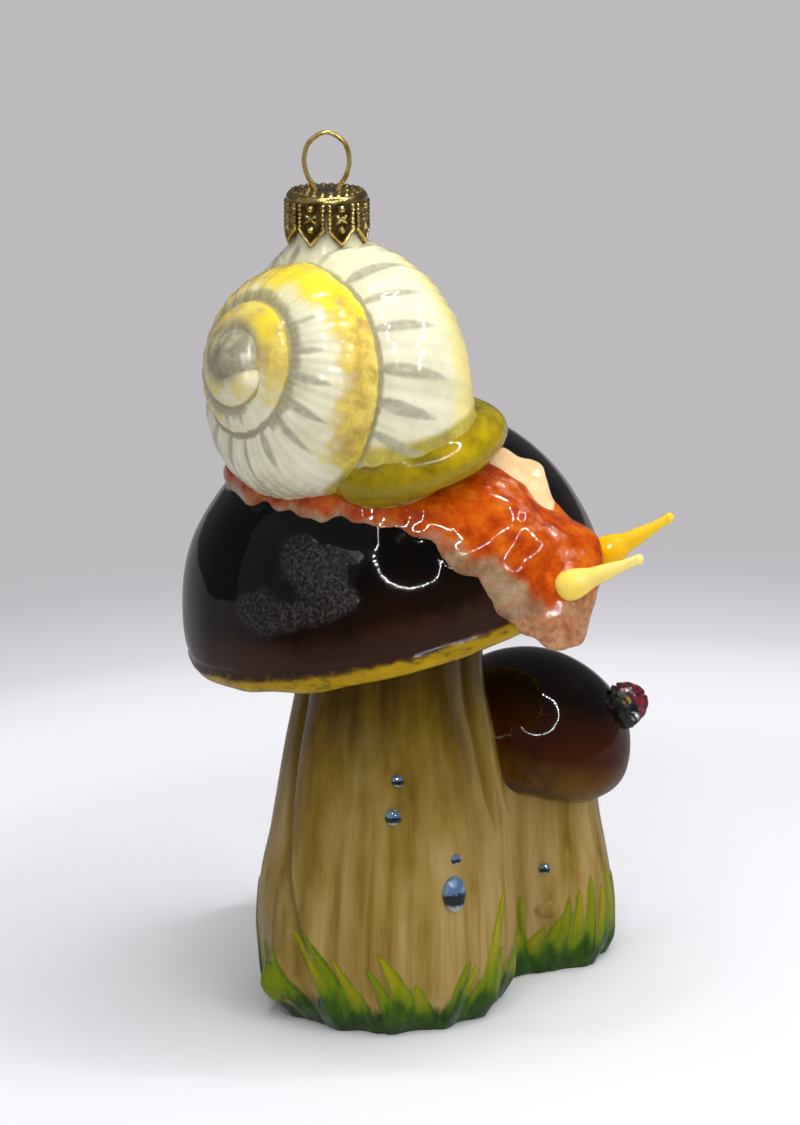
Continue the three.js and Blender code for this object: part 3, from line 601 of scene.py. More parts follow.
def grow_grass(turn, height, radius, blades, bare_above):
    """Cover, tone and relief of painted and moulded blades round a foot that is green low down."""
    cover, tone, relief = np.zeros_like(turn), np.zeros_like(turn), np.zeros_like(turn)
    for root, tip, tall, half, bright in blades:
        q = np.clip(height / tall, 0, 1.2)
        middle = math.radians(root) + math.radians(tip - root) * q ** 1.5
        off = (np.mod(turn - middle + math.pi, TAU) - math.pi) * radius
        width = half * np.clip(1.08 - 0.9 * q ** 1.7, 0, 1) * rise(q, 1.03, 0.93) + 0.02
        across = off / width
        inside = np.clip((1 - np.abs(across)) / 0.5, 0, 1) * (q < 1.03)
        shade = bright * (0.22 + 0.78 * rise(q, 0.1, 0.7))
        shade = shade - 0.3 * rise(across, 0.1, 0.8) + 0.1 * rise(across, 0, -0.8)
        tone = tone * (1 - inside) + shade * inside
        cover = np.maximum(cover, inside)
        relief = np.maximum(relief, inside * (1 - 0.6 * across ** 2) * (1 - 0.45 * q))
    ragged = bare_above + 1.5 * np.sin(11 * turn + 1) + 0.8 * np.sin(23 * turn)
    low = np.clip((ragged + 1.6 - height) / 3.2, 0, 1)
    tone = np.where(cover > 0, tone, 0) * (1 - 0.75 * low) + 0.08 * low
    return np.maximum(cover, low), np.clip(tone, 0, 1), relief


def stem_rings(foot, grass, top, counts):
    """Heights of a stem's rings, which lie closer at its foot and in the grass."""
    return np.concatenate([
        np.linspace(0, foot, counts[0], endpoint=False), np.linspace(foot, grass, counts[1], endpoint=False),
        np.linspace(grass, top, counts[2])])


def big_stem():
    """The big stem, turned from the front: folds at both sides, a lobe and a waist at the left, grass."""
    T, Z = np.meshgrid(circle(440, -math.pi), stem_rings(1.5, 20, STEM_HEIGHT, (8, 92, 110)))
    z = Z[:, :1]
    r = stem_curve(Z / STEM_HEIGHT)
    r = r + 0.35 * np.cos(9 * T + 0.7) * rise(Z, 4.4, 14.3) + 0.7 * np.cos(13 * T) * rise(Z, 11, 2.2)
    left = np.radians(np.interp(z, [8, 14, 25, 45, 62], [-36, -41, -54, -63, -66]))
    right = np.radians(np.interp(z, [30, 40, 62], [64, 61, 55]))
    groove = hump((T - left) * r, 0, 1.0) * rise(Z, 6, 16) * rise(Z, 64, 50)
    lobe = hump(T, left - math.radians(19), math.radians(13)) * rise(Z, 36, 22) * rise(Z, 0, 8)
    fold = hump((T - right) * r, 0, 0.9) * rise(Z, 26, 40) * rise(Z, 66, 58)
    waist = hump(T, math.radians(-95), math.radians(38)) * rise(Z, 18, 30) * rise(Z, 64, 52)
    r = r - 0.9 * groove + 0.6 * lobe - 0.9 * fold - 1.1 * waist
    cover, tone, relief = grow_grass(T, Z, r, FRONT_BLADES + back_blades(76, 268, 10), bare_above=5)
    knob = hump(T, math.radians(-57), math.radians(7.5)) * hump(Z, 6.4, 3.4)
    cover = np.maximum(cover, rise(knob, 0.2, 0.5))
    tone = tone + (0.66 - tone) * rise(knob, 0.25, 0.6)
    notch = hump(T, math.radians(23), math.radians(6)) * rise(Z, 9, 2)
    r = r + 0.6 * relief + 2.6 * knob
    r = r - 0.5 * notch
    grid = np.stack([r * np.sin(T), -r * np.cos(T), Z], -1)
    # The fold mark is painted as shade in the folds
    folds = np.clip(groove + fold, 0, 1)
    form = Form("big_stem", grid, {"height": Z / STEM_HEIGHT, "grass": cover, "tone": tone, "fold": folds})
    lump = 0.16 * grain(grid, 7, 1) + 0.05 * grain(grid * [1, 1, 0.12], 1.6, 2)
    form.push(lump * rise(Z, 0, 3))
    return form


def small_stem():
    """The small stem, turned from the front, with a pebble above its grass."""
    T, Z = np.meshgrid(circle(280, -math.pi), stem_rings(1.2, 18, SMALL_HEIGHT, (7, 84, 60)))
    r = small_curve(Z / SMALL_HEIGHT) + 0.5 * np.cos(8 * T) * rise(Z, 8.2, 2.2)
    r = r + 1.6 * hump(T, math.radians(-48), math.radians(20)) * rise(Z, 13, 3)
    cover, tone, relief = grow_grass(T, Z, r, SMALL_BLADES + back_blades(98, 300, 14), bare_above=4)
    pebble = np.sqrt(((T - math.radians(3)) * r / 2.0) ** 2 + ((Z - 11.2) / 1.25) ** 2)
    pebble = np.sqrt(np.clip(1 - pebble ** 2, 0, 1))
    r = r + 0.5 * relief + 0.95 * pebble
    grid = np.stack([SMALL_FOOT[0] + r * np.sin(T), SMALL_FOOT[1] - r * np.cos(T), Z], -1)
    form = Form("small_stem", grid, {
        "height": 0.06 + 0.5 * Z / SMALL_HEIGHT, "grass": cover * (1 - pebble), "tone": tone, "fold": 0 * T})
    lump = 0.14 * grain(grid, 6, 3) + 0.05 * grain(grid * [1, 1, 0.12], 1.4, 4)
    form.push(lump * rise(Z, 0, 3))
    return form


def stem_web():
    """The glass where the two stems run into each other."""
    span = np.linalg.norm(SMALL_FOOT)
    along = SMALL_FOOT / span
    side = np.array([along[1], -along[0], 0])
    T, Z = np.meshgrid(circle(200, -math.pi), np.linspace(0, SMALL_HEIGHT, 110))
    onward = span / 2 * (1 + np.cos(T))
    across = WEB_HALF * np.sign(np.sin(T)) * np.abs(np.sin(T)) ** 0.35 * (1 + 0.12 * rise(Z, 9, 1))
    blades = back_blades(62, 120, 11) + back_blades(242, 300, 11)
    cover, tone, relief = grow_grass(T, Z, radius=12, blades=blades, bare_above=4)
    grid = onward[..., None] * along + across[..., None] * side + Z[..., None] * np.array([0, 0, 1.0])
    marks = {"height": 0.06 + 0.5 * Z / SMALL_HEIGHT, "grass": cover, "tone": tone, "fold": 0 * T}
    form = Form("stem_web", grid, marks)
    form.push(0.5 * relief + 0.14 * grain(grid, 6, 26) * rise(Z, 0, 3))
    return form


# Caps

def cap_grid(radius, height, lip, steps, around):
    """Points of a dome with a rolled rim, and how far down its skin each lies: 1 at the rim, 2 underneath."""
    a = np.linspace(math.pi / 2, 0, steps[0], endpoint=False)
    b = np.radians(np.linspace(0, RIM_TUCK, steps[1], endpoint=False))
    c = np.linspace(0, 1, steps[2])
    rim, hole, tuck = radius - lip, radius * 0.42, math.radians(RIM_TUCK)
    end_r, end_z = rim + lip * math.cos(tuck), -lip * math.sin(tuck)
    r = np.concatenate([radius * np.cos(a), rim + lip * np.cos(b), end_r + (hole - end_r) * c])
    z = np.concatenate([height * np.sin(a), -lip * np.sin(b), end_z + (-lip * 0.5 - end_z) * c])
    down = np.concatenate([1 - a / (math.pi / 2), 1 + 0.5 * b / b[-1], 1.5 + 0.5 * c])
    r[0] = radius * 0.002
    return polar(r[:, None], circle(around), z[:, None]), np.repeat(down[:, None], around, 1)


# Frosted patches on the big cap: place across, height, half width and half height
FROST_PATCHES = [(-9.5, 76, 5.2, 5.6), (-19.5, 71.5, 4, 4.2), (-14, 81, 3, 3.5)]


def big_cap():
    """The big cap, with dents at its left and frosted patches at the front."""
    grid, D = cap_grid(CAP_RADIUS, CAP_HEIGHT, CAP_LIP, (150, 46, 18), 420)
    placed = leaned(*CAP_LEAN, CAP_CENTRE)(grid)
    x, y, z = np.moveaxis(placed, -1, 0)
    patches = sum(hump(x, across, half) * hump(z, up, tall) for across, up, half, tall in FROST_PATCHES)
    frost = rise(y, 6, -6) * np.clip(patches, 0, 1)
    frost = rise(frost + 0.35 * grain(placed, 3.2, 5), 0.3, 0.75)
    form = Form("big_cap", placed, {"down": D, "frost": frost})
    dents = 0.5 * grain(placed * [1, 1, 0.45], 7, 6) * rise(x, -12, -26) * rise(D, 0.25, 0.6)
    rim = 0.35 * grain(placed, 6, 7) * hump(D, 1.25, 0.3)
    rim = rim - 0.28 * hump(D, 0.985, 0.012) + 0.16 * hump(D, 1.03, 0.02)
    form.push((0.2 * grain(placed, 12, 8) + dents * 0.5) * rise(D, 1.1, 0.9) + rim)
    return form


def small_cap():
    """The small cap, frosted a little at its right."""
    grid, D = cap_grid(SMALL_CAP_RADIUS, SMALL_CAP_HEIGHT, SMALL_CAP_LIP, (96, 40, 12), 280)
    placed = leaned(*SMALL_LEAN, SMALL_CAP_CENTRE)(grid)
    frost = 0.5 * rise(grain(placed, 5, 9), 0.2, 0.5) * hump(placed[..., 0], 34, 4)
    form = Form("small_cap", placed, {"down": D * 0.8, "frost": frost})
    rim = 0.2 * grain(placed, 4, 11) * hump(D, 1.25, 0.3)
    form.push(0.14 * grain(placed, 9, 10) * rise(D, 1.3, 0.9) + rim)
    return form


# Snail

def between(t, low, high, a, b):
    """Goes straight from a at low to b at high."""
    return (high - t) / (high - low) * a + (t - low) / (high - low) * b


def smooth_path(points, count):
    """Points evenly spaced along a centripetal curve through the given ones, with their tangents."""
    p = np.asarray(points, float)
    p = np.vstack([2 * p[0] - p[1], p, 2 * p[-1] - p[-2]])
    knots = np.concatenate([[0], np.cumsum(np.sqrt(np.linalg.norm(np.diff(p, axis=0), axis=1)))])
    out = []
    for i in range(1, len(p) - 2):
        t = np.linspace(knots[i], knots[i + 1], 200, endpoint=i == len(p) - 3)[:, None]
        k0, k1, k2, k3 = knots[i - 1:i + 3]
        a = between(t, k0, k1, p[i - 1], p[i])
        b = between(t, k1, k2, p[i], p[i + 1])
        c = between(t, k2, k3, p[i + 1], p[i + 2])
        out.append(between(t, k1, k2, between(t, k0, k2, a, b), between(t, k1, k3, b, c)))
    line = np.vstack(out)
    along = np.concatenate([[0], np.cumsum(np.linalg.norm(np.diff(line, axis=0), axis=1))])
    even = np.linspace(0, along[-1], count)
    points = np.stack([np.interp(even, along, line[:, i]) for i in range(3)], -1)
    return points, unit(np.gradient(points, axis=0))


def snail_foot():
    """The snail's foot and head, laid along a path over the cap; S runs from the tail to the snout."""
    steps, sides = 330, 150
    path, tangent = smooth_path(CAP_CENTRE + CAP_RADIUS * np.array(FOOT_PATH), steps)
    out = path - CAP_CENTRE
    reach = np.linalg.norm(out, axis=1)
    normal = out / reach[:, None]
    side = unit(np.cross(tangent, normal))
    A, S = np.meshgrid(circle(sides), np.linspace(0, 1, steps))
    near, up = np.cos(A), np.sin(A)
    skirt = rise(S, 0.05, 0.2) * rise(S, 0.98, 0.85)
    wave = 0.5 * np.sin(TAU * (5.3 * S + 0.55)) + 0.45 * np.sin(TAU * (8.7 * S + 0.2))
    wave = wave + 0.3 * np.sin(TAU * (14.3 * S))
    half = through(FOOT_WIDTH)(S) + wave * skirt
    ends = np.sqrt(np.clip(1 - ((S - 0.5) / 0.5) ** 18, 0, 1))
    cushion = (hump(S, 0.72, 0.055) + 0.5 * hump(S, 0.62, 0.05)) * rise(near, -0.72, -0.98)
    nose = hump(np.mod(A + math.pi, TAU) - math.pi, 0.3, 0.55)
    nose = hump(S, 0.985, 0.03) * (nose + (1 - nose) * rise(S, 0.96, 1))
    turned = 4.2 * rise(S, 0.88, 1.0)
    across = (half * ends * near - 2.5 * cushion + 1.0 * nose + turned) / reach[:, None]
    back, sole = through(FOOT_HEIGHT)(S) * np.abs(up) ** 1.15, through(FOOT_DEPTH)(S) * up
    lift = np.where(up > 0, back, sole) * ends
    lobe = cushion * rise(up, -0.6, 0.1)
    brow = hump(S, 0.87, 0.07) * hump(near, -0.75, 0.4) * (up > -0.2)
    hollow = hump(S, 0.72, 0.06) * hump(near, -0.9, 0.5) * (up > -0.2)
    lift = lift + 3.5 * lobe + 2.4 * brow - 0.8 * hollow
    far = (reach[:, None] + lift)[..., None]
    aside = np.cos(across)[..., None] * normal[:, None] + np.sin(across)[..., None] * side[:, None]
    grid = CAP_CENTRE + far * aside
    grid = grid + 2.2 * nose[..., None] * tangent[:, None]
    bare = np.interp(S, [0.3, 0.5, 0.7, 0.85], [0.7, 0.6, 0.4, 0.3])
    hem = rise(np.abs(near), 0.62, 0.95) * rise(S, 0.97, 0.8)
    ridge = hump(near, -0.35 + 0.25 * rise(S, 0.6, 0.9), 0.24)
    ridge = ridge * rise(S, 0.6, 0.68) * rise(S, 0.97, 0.9) * (up > 0)
    marks = {
        "skirt": rise(near, bare, bare + 0.5) * rise(S, 1.03, 0.93) + rise(S, 0.2, 0.05) * 0.5,
        "peach": 1.2 * rise(near, -0.58, -0.74) * rise(S, 0.8, 0.75) * rise(S, 0.5, 0.56),
        "snout": rise(S + 0.03 * near, 0.87, 0.95),
        "warts": ridge,
    }
    form = Form("snail_foot", grid, marks)
    wrinkle = 0.4 * grain(grid, 4.2, 12) + 0.22 * grain(grid, 1.9, 13) * (0.4 + 0.6 * hem)
    folds = 0.5 * grain(grid, 2.0, 14) * rise(S, 0.86, 0.94)
    warts = 0.55 * rise(grain(grid, 2.1, 24), -0.1, 0.6) * ridge
    form.push(wrinkle + folds + warts)
    return form


shell_reach, shell_drop, shell_tube = through(SHELL_REACH), through(SHELL_DROP), through(SHELL_TUBE)
SHELL_AXIS = unit([-0.73, -0.61, 0.31])
SHELL_TURNS, SHELL_END = 3, 0.112
SHELL_MARKS = ("stroke", "ochre", "sun", "olive", "warm", "seam", "apex")

# Brush strokes by turn of the coil: length, half width and gap to the next
STROKE_LENGTH = ([0, 0.45, 0.7, 1.0, 1.4, 1.8, 2.4], [13, 12, 10, 9, 7.5, 4.5, 2.5])
STROKE_HALF = ([0, 1, 1.6, 2.4], [1.2, 1.05, 0.8, 0.5])
STROKE_GAP = ([0, 1, 2.4], [5.2, 4.6, 2.6])
STROKE_FADE = ([0, 1.2, 1.34, 1.62, 1.75, 2], [1, 0.9, 0.3, 0.3, 0.95, 0.9])


def seam_angle(turn, other):
    """Which way, round the tube's section, another whorl lies, and how far to its sides the seams are."""
    r1, r2 = shell_tube(turn), shell_tube(other)
    dx, dz = shell_reach(other) - shell_reach(turn), shell_drop(turn) - shell_drop(other)
    gap = np.hypot(dx, dz)
    cosine = np.clip((r1 ** 2 + gap ** 2 - r2 ** 2) / (2 * r1 * gap + 1e-9), -1, 1)
    return np.arctan2(dz, dx), np.arccos(cosine)


def apex_blot(grid):
    """How much of the grey dab lies on points near the coil's middle; it sits a little up and to the left."""
    middle = SHELL_ORIGIN - SHELL_AXIS * APEX_DROP + np.array([-0.9, 0, 0.8])
    return rise(np.linalg.norm(grid - middle, axis=-1), 7.6, 3.6)


def brush_strokes(T, girth, from_upper):
    """Soft strokes that start at the upper seam, each swelling and bending as it goes."""
    stroke = np.zeros_like(T)
    draw = np.random.default_rng(5)
    place = 0.045
    while place < 1.95:
        girth_here = TAU * (shell_reach(place) + 0.4 * shell_tube(place))
        length = np.interp(place, *STROKE_LENGTH) * draw.uniform(0.82, 1.12)
        half = np.interp(place, *STROKE_HALF) * draw.uniform(0.8, 1.2)
        q = np.clip(from_upper / length, 0, 1.01)
        width = half * np.sin(math.pi * np.clip(0.06 + 0.94 * q, 0, 1) ** 0.7) ** 0.8
        bend = 0.5 * draw.uniform(-1, 1) * q ** 2
        off = np.abs((T - place) * girth + bend)
        inside = np.clip((width - off) / 1.0 + 0.22, 0, 1) * (q < 1) * (from_upper > 0)
        stroke = np.maximum(stroke, inside)
        place += np.interp(place, *STROKE_GAP) / girth_here * draw.uniform(0.85, 1.15)
    return stroke * np.interp(T, *STROKE_FADE)


def shell():
    """The coiled tube, from its mouth at turn 0 to the middle; B goes round the tube's section."""
    turn = np.concatenate([np.linspace(0, SHELL_TURNS, 760), SHELL_TURNS + np.linspace(0.004, 0.11, 14)])
    squeeze = np.sqrt(np.clip(1 - (np.clip(turn - SHELL_TURNS, 0, 1) / SHELL_END) ** 2, 0.0, 1))[:, None]
    B, T = np.meshgrid(circle(132, -math.pi), turn)
    across = unit(np.array([1.0, 0, 0]) - SHELL_AXIS * SHELL_AXIS[0])
    upward = np.cross(SHELL_AXIS, across)
    a = TAU * T + SHELL_MOUTH
    out = np.cos(a)[..., None] * across + np.sin(a)[..., None] * upward
    tube = shell_tube(T) * squeeze
    rib = 0.05 * np.sin(TAU * 58 * T) * rise(T, 1.9, 1.2)
    rib = rib + 0.06 * np.sin(TAU * 23 * T + 1) * rise(T, 2.4, 1.8)
    r = tube + rib * squeeze
    grid = (SHELL_ORIGIN + out * (shell_reach(T) + r * np.cos(B))[..., None]
            + SHELL_AXIS * (r * np.sin(B) - shell_drop(T))[..., None])
    heading, spread = seam_angle(T, T + 1)
    from_upper = (heading - spread - B) * tube
    heading, spread = seam_angle(T, T - 1)
    lower = heading + spread
    from_lower = np.where(T > 1, (np.mod(B - lower + math.pi, TAU) - math.pi) * tube, 40)
    girth = TAU * (shell_reach(T) + tube * np.cos(B))
    ochre = rise(from_lower, 12.5, 3) * rise(T, 1.0, 1.06) * rise(T, 2.05, 1.6)
    ochre = np.maximum(ochre, 0.62 * rise(B, -0.15, -0.75) * rise(T, 0.32, 0.1))
    ochre = np.maximum(ochre, np.interp(T, [1.95, 2.15, 2.6, 2.8, 3.1], [0, 0.8, 0.7, 0.5, 0.45]))
    ring = (grid - LIP_CENTRE) @ lean_matrix(*LIP_LEAN)
    from_lip = np.hypot(np.hypot(ring[..., 0], ring[..., 1]) - LIP_RADIUS, ring[..., 2])
    # The seam mark is painted shade: grey-olive along the seams between whorls
    upper_seam = rise(from_upper, np.where(T > 1, 3.6, 1.2), 0.1) * rise(T, 2.05, 1.9)
    seam = np.maximum(upper_seam, rise(from_lower, 1.2, 0.1)) * (T > 0.02)
    lowest = grid[..., 2].min()
    warm = rise(B, 0.3, -0.6) * rise(T, 0.5, 0.2)
    form = Form("shell", grid, {
        "stroke": brush_strokes(T, girth, from_upper),
        "ochre": ochre,
        "sun": hump(T, 1.33, 0.1) * rise(from_lower, 14, 5) + 0.7 * hump(T, 2.3, 0.08),
        "olive": rise(from_lip, 8, 4),
        "warm": warm + 0.6 * hump(T, 1.4, 0.16) + 0.4 * hump(T, 0.4, 0.2),
        # Painted shade also over the lowest 17 mm of the shell
        "seam": seam + 0.5 * rise(grid[..., 2], lowest + 17, lowest + 4),
        "apex": 0.85 * apex_blot(grid) * rise(T, 1.9, 2.2),
    })
    form.push(0.12 * grain(grid, 6, 15) + 0.05 * grain(grid, 2.2, 16))
    return form


def shell_apex():
    """The round knob in the middle of the coil."""
    a = np.linspace(math.pi / 2 * 0.99, -0.6, 40)
    profile = np.stack([APEX_RADIUS * np.cos(a), APEX_RADIUS * np.sin(a)], -1)
    pose = pose_on(SHELL_ORIGIN - SHELL_AXIS * APEX_DROP, SHELL_AXIS, [0, 0, 1])
    form = lathe("shell_apex", profile, pose, 90, {mark: 0 * a for mark in SHELL_MARKS})
    grid = form.grid()
    blot = apex_blot(grid)
    form.marks.update(apex=blot, ochre=0.45 * (1 - blot))
    form.push(0.14 * grain(grid, 2.4, 25))
    return form


def shell_lip():
    """The rolled lip round the shell's mouth, a ring that ends where it starts."""
    T, B = np.meshgrid(circle(260), circle(72), indexing="ij")
    roll = LIP_ROLL * (1 + 0.1 * np.sin(2 * T + 0.6))
    r = LIP_RADIUS + roll * np.cos(B)
    grid = leaned(*LIP_LEAN, LIP_CENTRE)(polar(r, T, roll * np.sin(B) * 0.98))
    ring = np.concatenate([grid, grid[:1]])
    outer = rise(np.cos(B), 0.1, 0.9) * rise(np.sin(B), 0.5, -0.3)
    form = Form("shell_lip", ring, {"outer": np.concatenate([outer, outer[:1]])}, ends=(False, False))
    form.push(0.2 * grain(ring, 6, 17))
    return form


def glass_neck():
    """The open neck on the shell's top, flared into it, with its bore and strokes round its foot."""
    wall = [(1.6, -11), (0.9, -9), (0.3, -8), (0, -6.6), (0, -3), (0, -0.9), (-0.15, -0.3), (-0.5, 0)]
    bore = [(0.2, -0.15), (0, -0.6), (0, -6), (0, -20)]
    profile = [(NECK_RADIUS + r, z) for r, z in wall] + [(NECK_BORE + r, z) for r, z in bore] + [(0.4, -20.8)]
    blank = {mark: np.zeros(len(profile)) for mark in SHELL_MARKS}
    form = lathe("glass_neck", profile, lambda p: p + NECK, 96, blank, ends=(False, True))
    strokes = sum(hump(circle(96), math.radians(t), 0.13) for t in (35, 100, 165, 222, 285, 325))
    form.marks["stroke"] = strokes * rise(np.array(profile)[:, 1:], -6, -8)
    return form


def tentacle(name, seat, lean, sleeve, bend):
    """A drawn horn with a round foot, and a sleeve of thicker glass round some."""
    b, t, length = TENTACLE_BASE, TENTACLE_TIP, TENTACLE_LENGTH
    foot = np.linspace(-math.pi / 2 * 0.98, -0.06, 16)
    z = np.linspace(0, length - t, 90)
    tip = np.linspace(0.06, math.pi / 2 * 0.98, 14)
    shaft = through([
        (0, b * 1.04), (0.3 * b, b * 1.03), (0.9 * b, b * 0.9), (length * 0.3, b * 0.68),
        (length * 0.5, (b + t) * 0.42), (length * 0.75, t * 1.12), (length - t * 1.7, t * 1.05),
        (length - t, t * 1.1)])
    r = shaft(z) + sleeve * rise(z, 4.4, 2.4)
    foot_r = b * 1.04 * np.cos(foot) ** 0.8 + sleeve * rise(foot, -1.2, -0.4)
    r = np.concatenate([foot_r, r, r[-1] * np.cos(tip)])
    z = np.concatenate([b * np.sin(foot), z, length - t + t * np.sin(tip)])
    stand = pose_on(CAP_CENTRE + CAP_RADIUS * np.array(seat), lean, [0, 0, 1])

    def pose(p):
        lift = bend * (np.clip(p[..., 2:], 0, None) / length) ** 2
        return stand(p + lift * np.array([0, 1, 0]))

    form = lathe(name, np.stack([r, z], -1), pose, 64, {"along": np.clip(z / length, 0, 1)})
    form.push(0.035 * grain(form.grid(), 2.6, 18))
    return form


# Ladybird and crystals

BEETLE_UP, BEETLE_TURN, BEETLE_HEADING = 9.6, math.radians(-6), math.radians(90)
BEETLE_LENGTH, BEETLE_WIDTH, BEETLE_HEIGHT, SADDLE = 3.6, 3.9, 4.6, 0.85
HEAD_HALF = np.array([BEETLE_WIDTH * 0.85, BEETLE_LENGTH * 0.45, BEETLE_HEIGHT * 0.6])
HEAD_CENTRE = np.array([0, BEETLE_LENGTH * 0.62, 0.2])
EYE, GIRDLE = 0.75, 0.45

beetle_r = SMALL_CAP_RADIUS * math.sqrt(1 - (BEETLE_UP / SMALL_CAP_HEIGHT) ** 2)
beetle_seat = np.array([beetle_r * math.cos(BEETLE_TURN), beetle_r * math.sin(BEETLE_TURN), BEETLE_UP])
small_cap_half = np.array([SMALL_CAP_RADIUS, SMALL_CAP_RADIUS, SMALL_CAP_HEIGHT])
small_cap_pose = leaned(*SMALL_LEAN, SMALL_CAP_CENTRE)
beetle_normal = direction(small_cap_pose, beetle_seat / small_cap_half ** 2)
beetle_frame = pose_on(small_cap_pose(beetle_seat), beetle_normal, [0, 0, 1])


def beetle_pose(p):
    """Sets the ladybird's points on the small cap, turned to its heading."""
    c, s = math.cos(BEETLE_HEADING), math.sin(BEETLE_HEADING)
    return beetle_frame(p @ np.array([[c, s, 0], [-s, c, 0], [0, 0, 1]]))


def dome(name, half, low, centre, shape):
    """The shaped part of an ellipsoid above a level, in the ladybird's frame, with a flat underside."""
    start = math.asin(max(-1, low / half[2]))
    A, T = np.meshgrid(np.linspace(start, math.pi / 2 * 0.99, 40), circle(72), indexing="ij")
    p = np.stack([np.cos(A) * np.cos(T) * half[0], np.cos(A) * np.sin(T) * half[1], np.sin(A) * half[2]], -1)
    return Form(name, beetle_pose(shape(p, A, T) + centre))


def wing_shape(p, A, T):
    """Two cases with a seam between them, pressed in rows of facets."""
    seam = hump(p[..., 0], 0, 0.3) * rise(A, 0.1, 0.5)
    facet = np.abs(np.sin(9 * T)) * np.abs(np.sin(7 * A))
    p = p * (1 - 0.03 * (1 - facet[..., None]) * rise(A, 1.4, 1.1)[..., None])
    p[..., 2] -= 0.3 * seam
    return p


def beetle_skin(p, A, T):
    """Rough skin, smooth along the underside."""
    rough = np.stack([grain(p, 0.7, seed) for seed in (20, 21, 22)], -1)
    return p + 0.12 * rough * rise(A, 0, 0.4)[..., None]


def crystal(name, point, normal, up, half, rise_by, back=0.5):
    """A flat-back stone with a girdle, a row of facets and a domed table."""
    table = np.array([0.97, 0.9, 0.8, 0.68, 0.55, 0.42, 0.28, 0.14, 0.02])
    domed = GIRDLE + rise_by * np.sqrt(np.clip(1 - table ** 2, 0, 1))
    z = np.concatenate([[-back, 0.12, 0.3, GIRDLE], domed])
    R, T = np.meshgrid(np.concatenate([np.full(4, 1.0), table]), circle(64), indexing="ij")
    cut = 1 - 0.035 * rise(R, 0.3, 0.75) * rise(R, 1.01, 0.96) * (1 - np.cos(8 * T))
    x, y = R * cut * np.cos(T) * half[0], R * cut * np.sin(T) * half[1]
    local = np.stack([x, y, np.repeat(z[:, None], 64, 1)], -1)
    return Form(name, pose_on(point, normal, up)(local), {"up": 0.5 + 0.5 * y / half[1]})


def on_stem(centre, curve, height, turn, share):
    """Point, outward normal and upward direction on a stem's side."""
    t, z = math.radians(turn), share * height
    r = float(curve(share))
    slope = float(curve(share + 0.01) - curve(share - 0.01)) / (0.02 * height)
    out = np.array([math.sin(t), -math.cos(t), 0])
    return centre + out * r + [0, 0, z], unit(out - [0, 0, slope]), unit(out * slope + [0, 0, 1])


# Crystals: the stem, turn from the front in degrees, share of its height, half width and half height
BIG, SMALL = (np.zeros(3), stem_curve, STEM_HEIGHT), (SMALL_FOOT, small_curve, SMALL_HEIGHT)
CRYSTALS = {
    "upper_small_crystal": (BIG, 5, 0.627, (1, 1)),
    "upper_round_crystal": (BIG, 2.5, 0.543, (1.3, 1.3)),
    "lower_small_crystal": (BIG, 32.4, 0.43, (0.9, 0.9)),
    "oval_crystal": (BIG, 30.7, 0.348, (2, 3)),
    "small_stem_crystal": (SMALL, 0.5, 0.48, (0.95, 0.95)),
}


# Crown cap and hanger

def bead(x, y, cx, cy, r):
    """Height of a round bead of that radius."""
    return r * np.sqrt(np.clip(1 - ((x - cx) ** 2 + (y - cy) ** 2) / r ** 2, 0, 1))


def petal_relief(x, y, half):
    """Beads down both edges, a raised point, a dot above and below and a leaf pair between."""
    slant = math.hypot(half, PETAL_POINT)
    edge = (CROWN_HEIGHT - y) * half / slant - np.abs(x) * PETAL_POINT / slant
    h = 0.26 * np.clip(1 - ((edge - 0.3) / 0.24) ** 2, 0, 1) * (y > CROWN_HEIGHT - PETAL_POINT - 0.3)
    for cx, cy, r in ((0, 1.9, 0.5), (0, 5.15, 0.46), (0, 3.5, 0.2)):
        h = np.maximum(h, bead(x, y, cx, cy, r))
    for side in (-1, 1):
        for k in range(6):
            h = np.maximum(h, bead(x, y, side * (half - 0.36), 1.55 + 0.64 * k, 0.29))
        for lean in (-1, 1):
            cx, cy = side * 0.5, 3.5 + lean * 0.33
            u = (x - cx) * 0.83 + (y - cy) * 0.55 * side * lean
            v = -(x - cx) * 0.55 * side * lean + (y - cy) * 0.83
            h = np.maximum(h, 0.24 * np.sqrt(np.clip(1 - (u / 0.52) ** 2 - (v / 0.2) ** 2, 0, 1)))
    return h


def there_and_back(outer, inner):
    """Rows that run along the outer side of a sheet and back along the inner one."""
    return np.concatenate([outer, inner[:, ::-1]], 1)


def petal(k):
    """One stamped petal of the cup, pointed below."""
    pitch = TAU * CROWN_RADIUS / PETALS
    half = (pitch - PETAL_SLIT) / 2
    facing = TAU * k / PETALS - math.pi / 2 + TAU / PETALS / 2
    y = np.linspace(0.75, CROWN_HEIGHT - 0.02, 100)[:, None]
    u = np.linspace(-1, 1, 52)
    half_here = half * np.clip((CROWN_HEIGHT - y) / PETAL_POINT, 0.0, 1)
    X = np.where(y < CROWN_HEIGHT * 0.3, pitch / 2 - 0.02, half_here) * u
    Y = np.repeat(y, len(u), 1)
    wall = CROWN_RADIUS + 0.012 * Y - 0.28 * rise(Y, 1.1, 0.7)
    stamp = petal_relief(X, Y, half) * rise(np.abs(u), 1.0, 0.95)
    r = there_and_back(wall + 1.05 * stamp, wall - CROWN_SHEET)
    grid = polar(r, facing + there_and_back(X, X) / CROWN_RADIUS, -there_and_back(Y, Y)) + CROWN_MIDDLE
    return Form(f"petal_{k}", grid, {"relief": there_and_back(rise(stamp, 0.02, 0.24), 0 * X)})


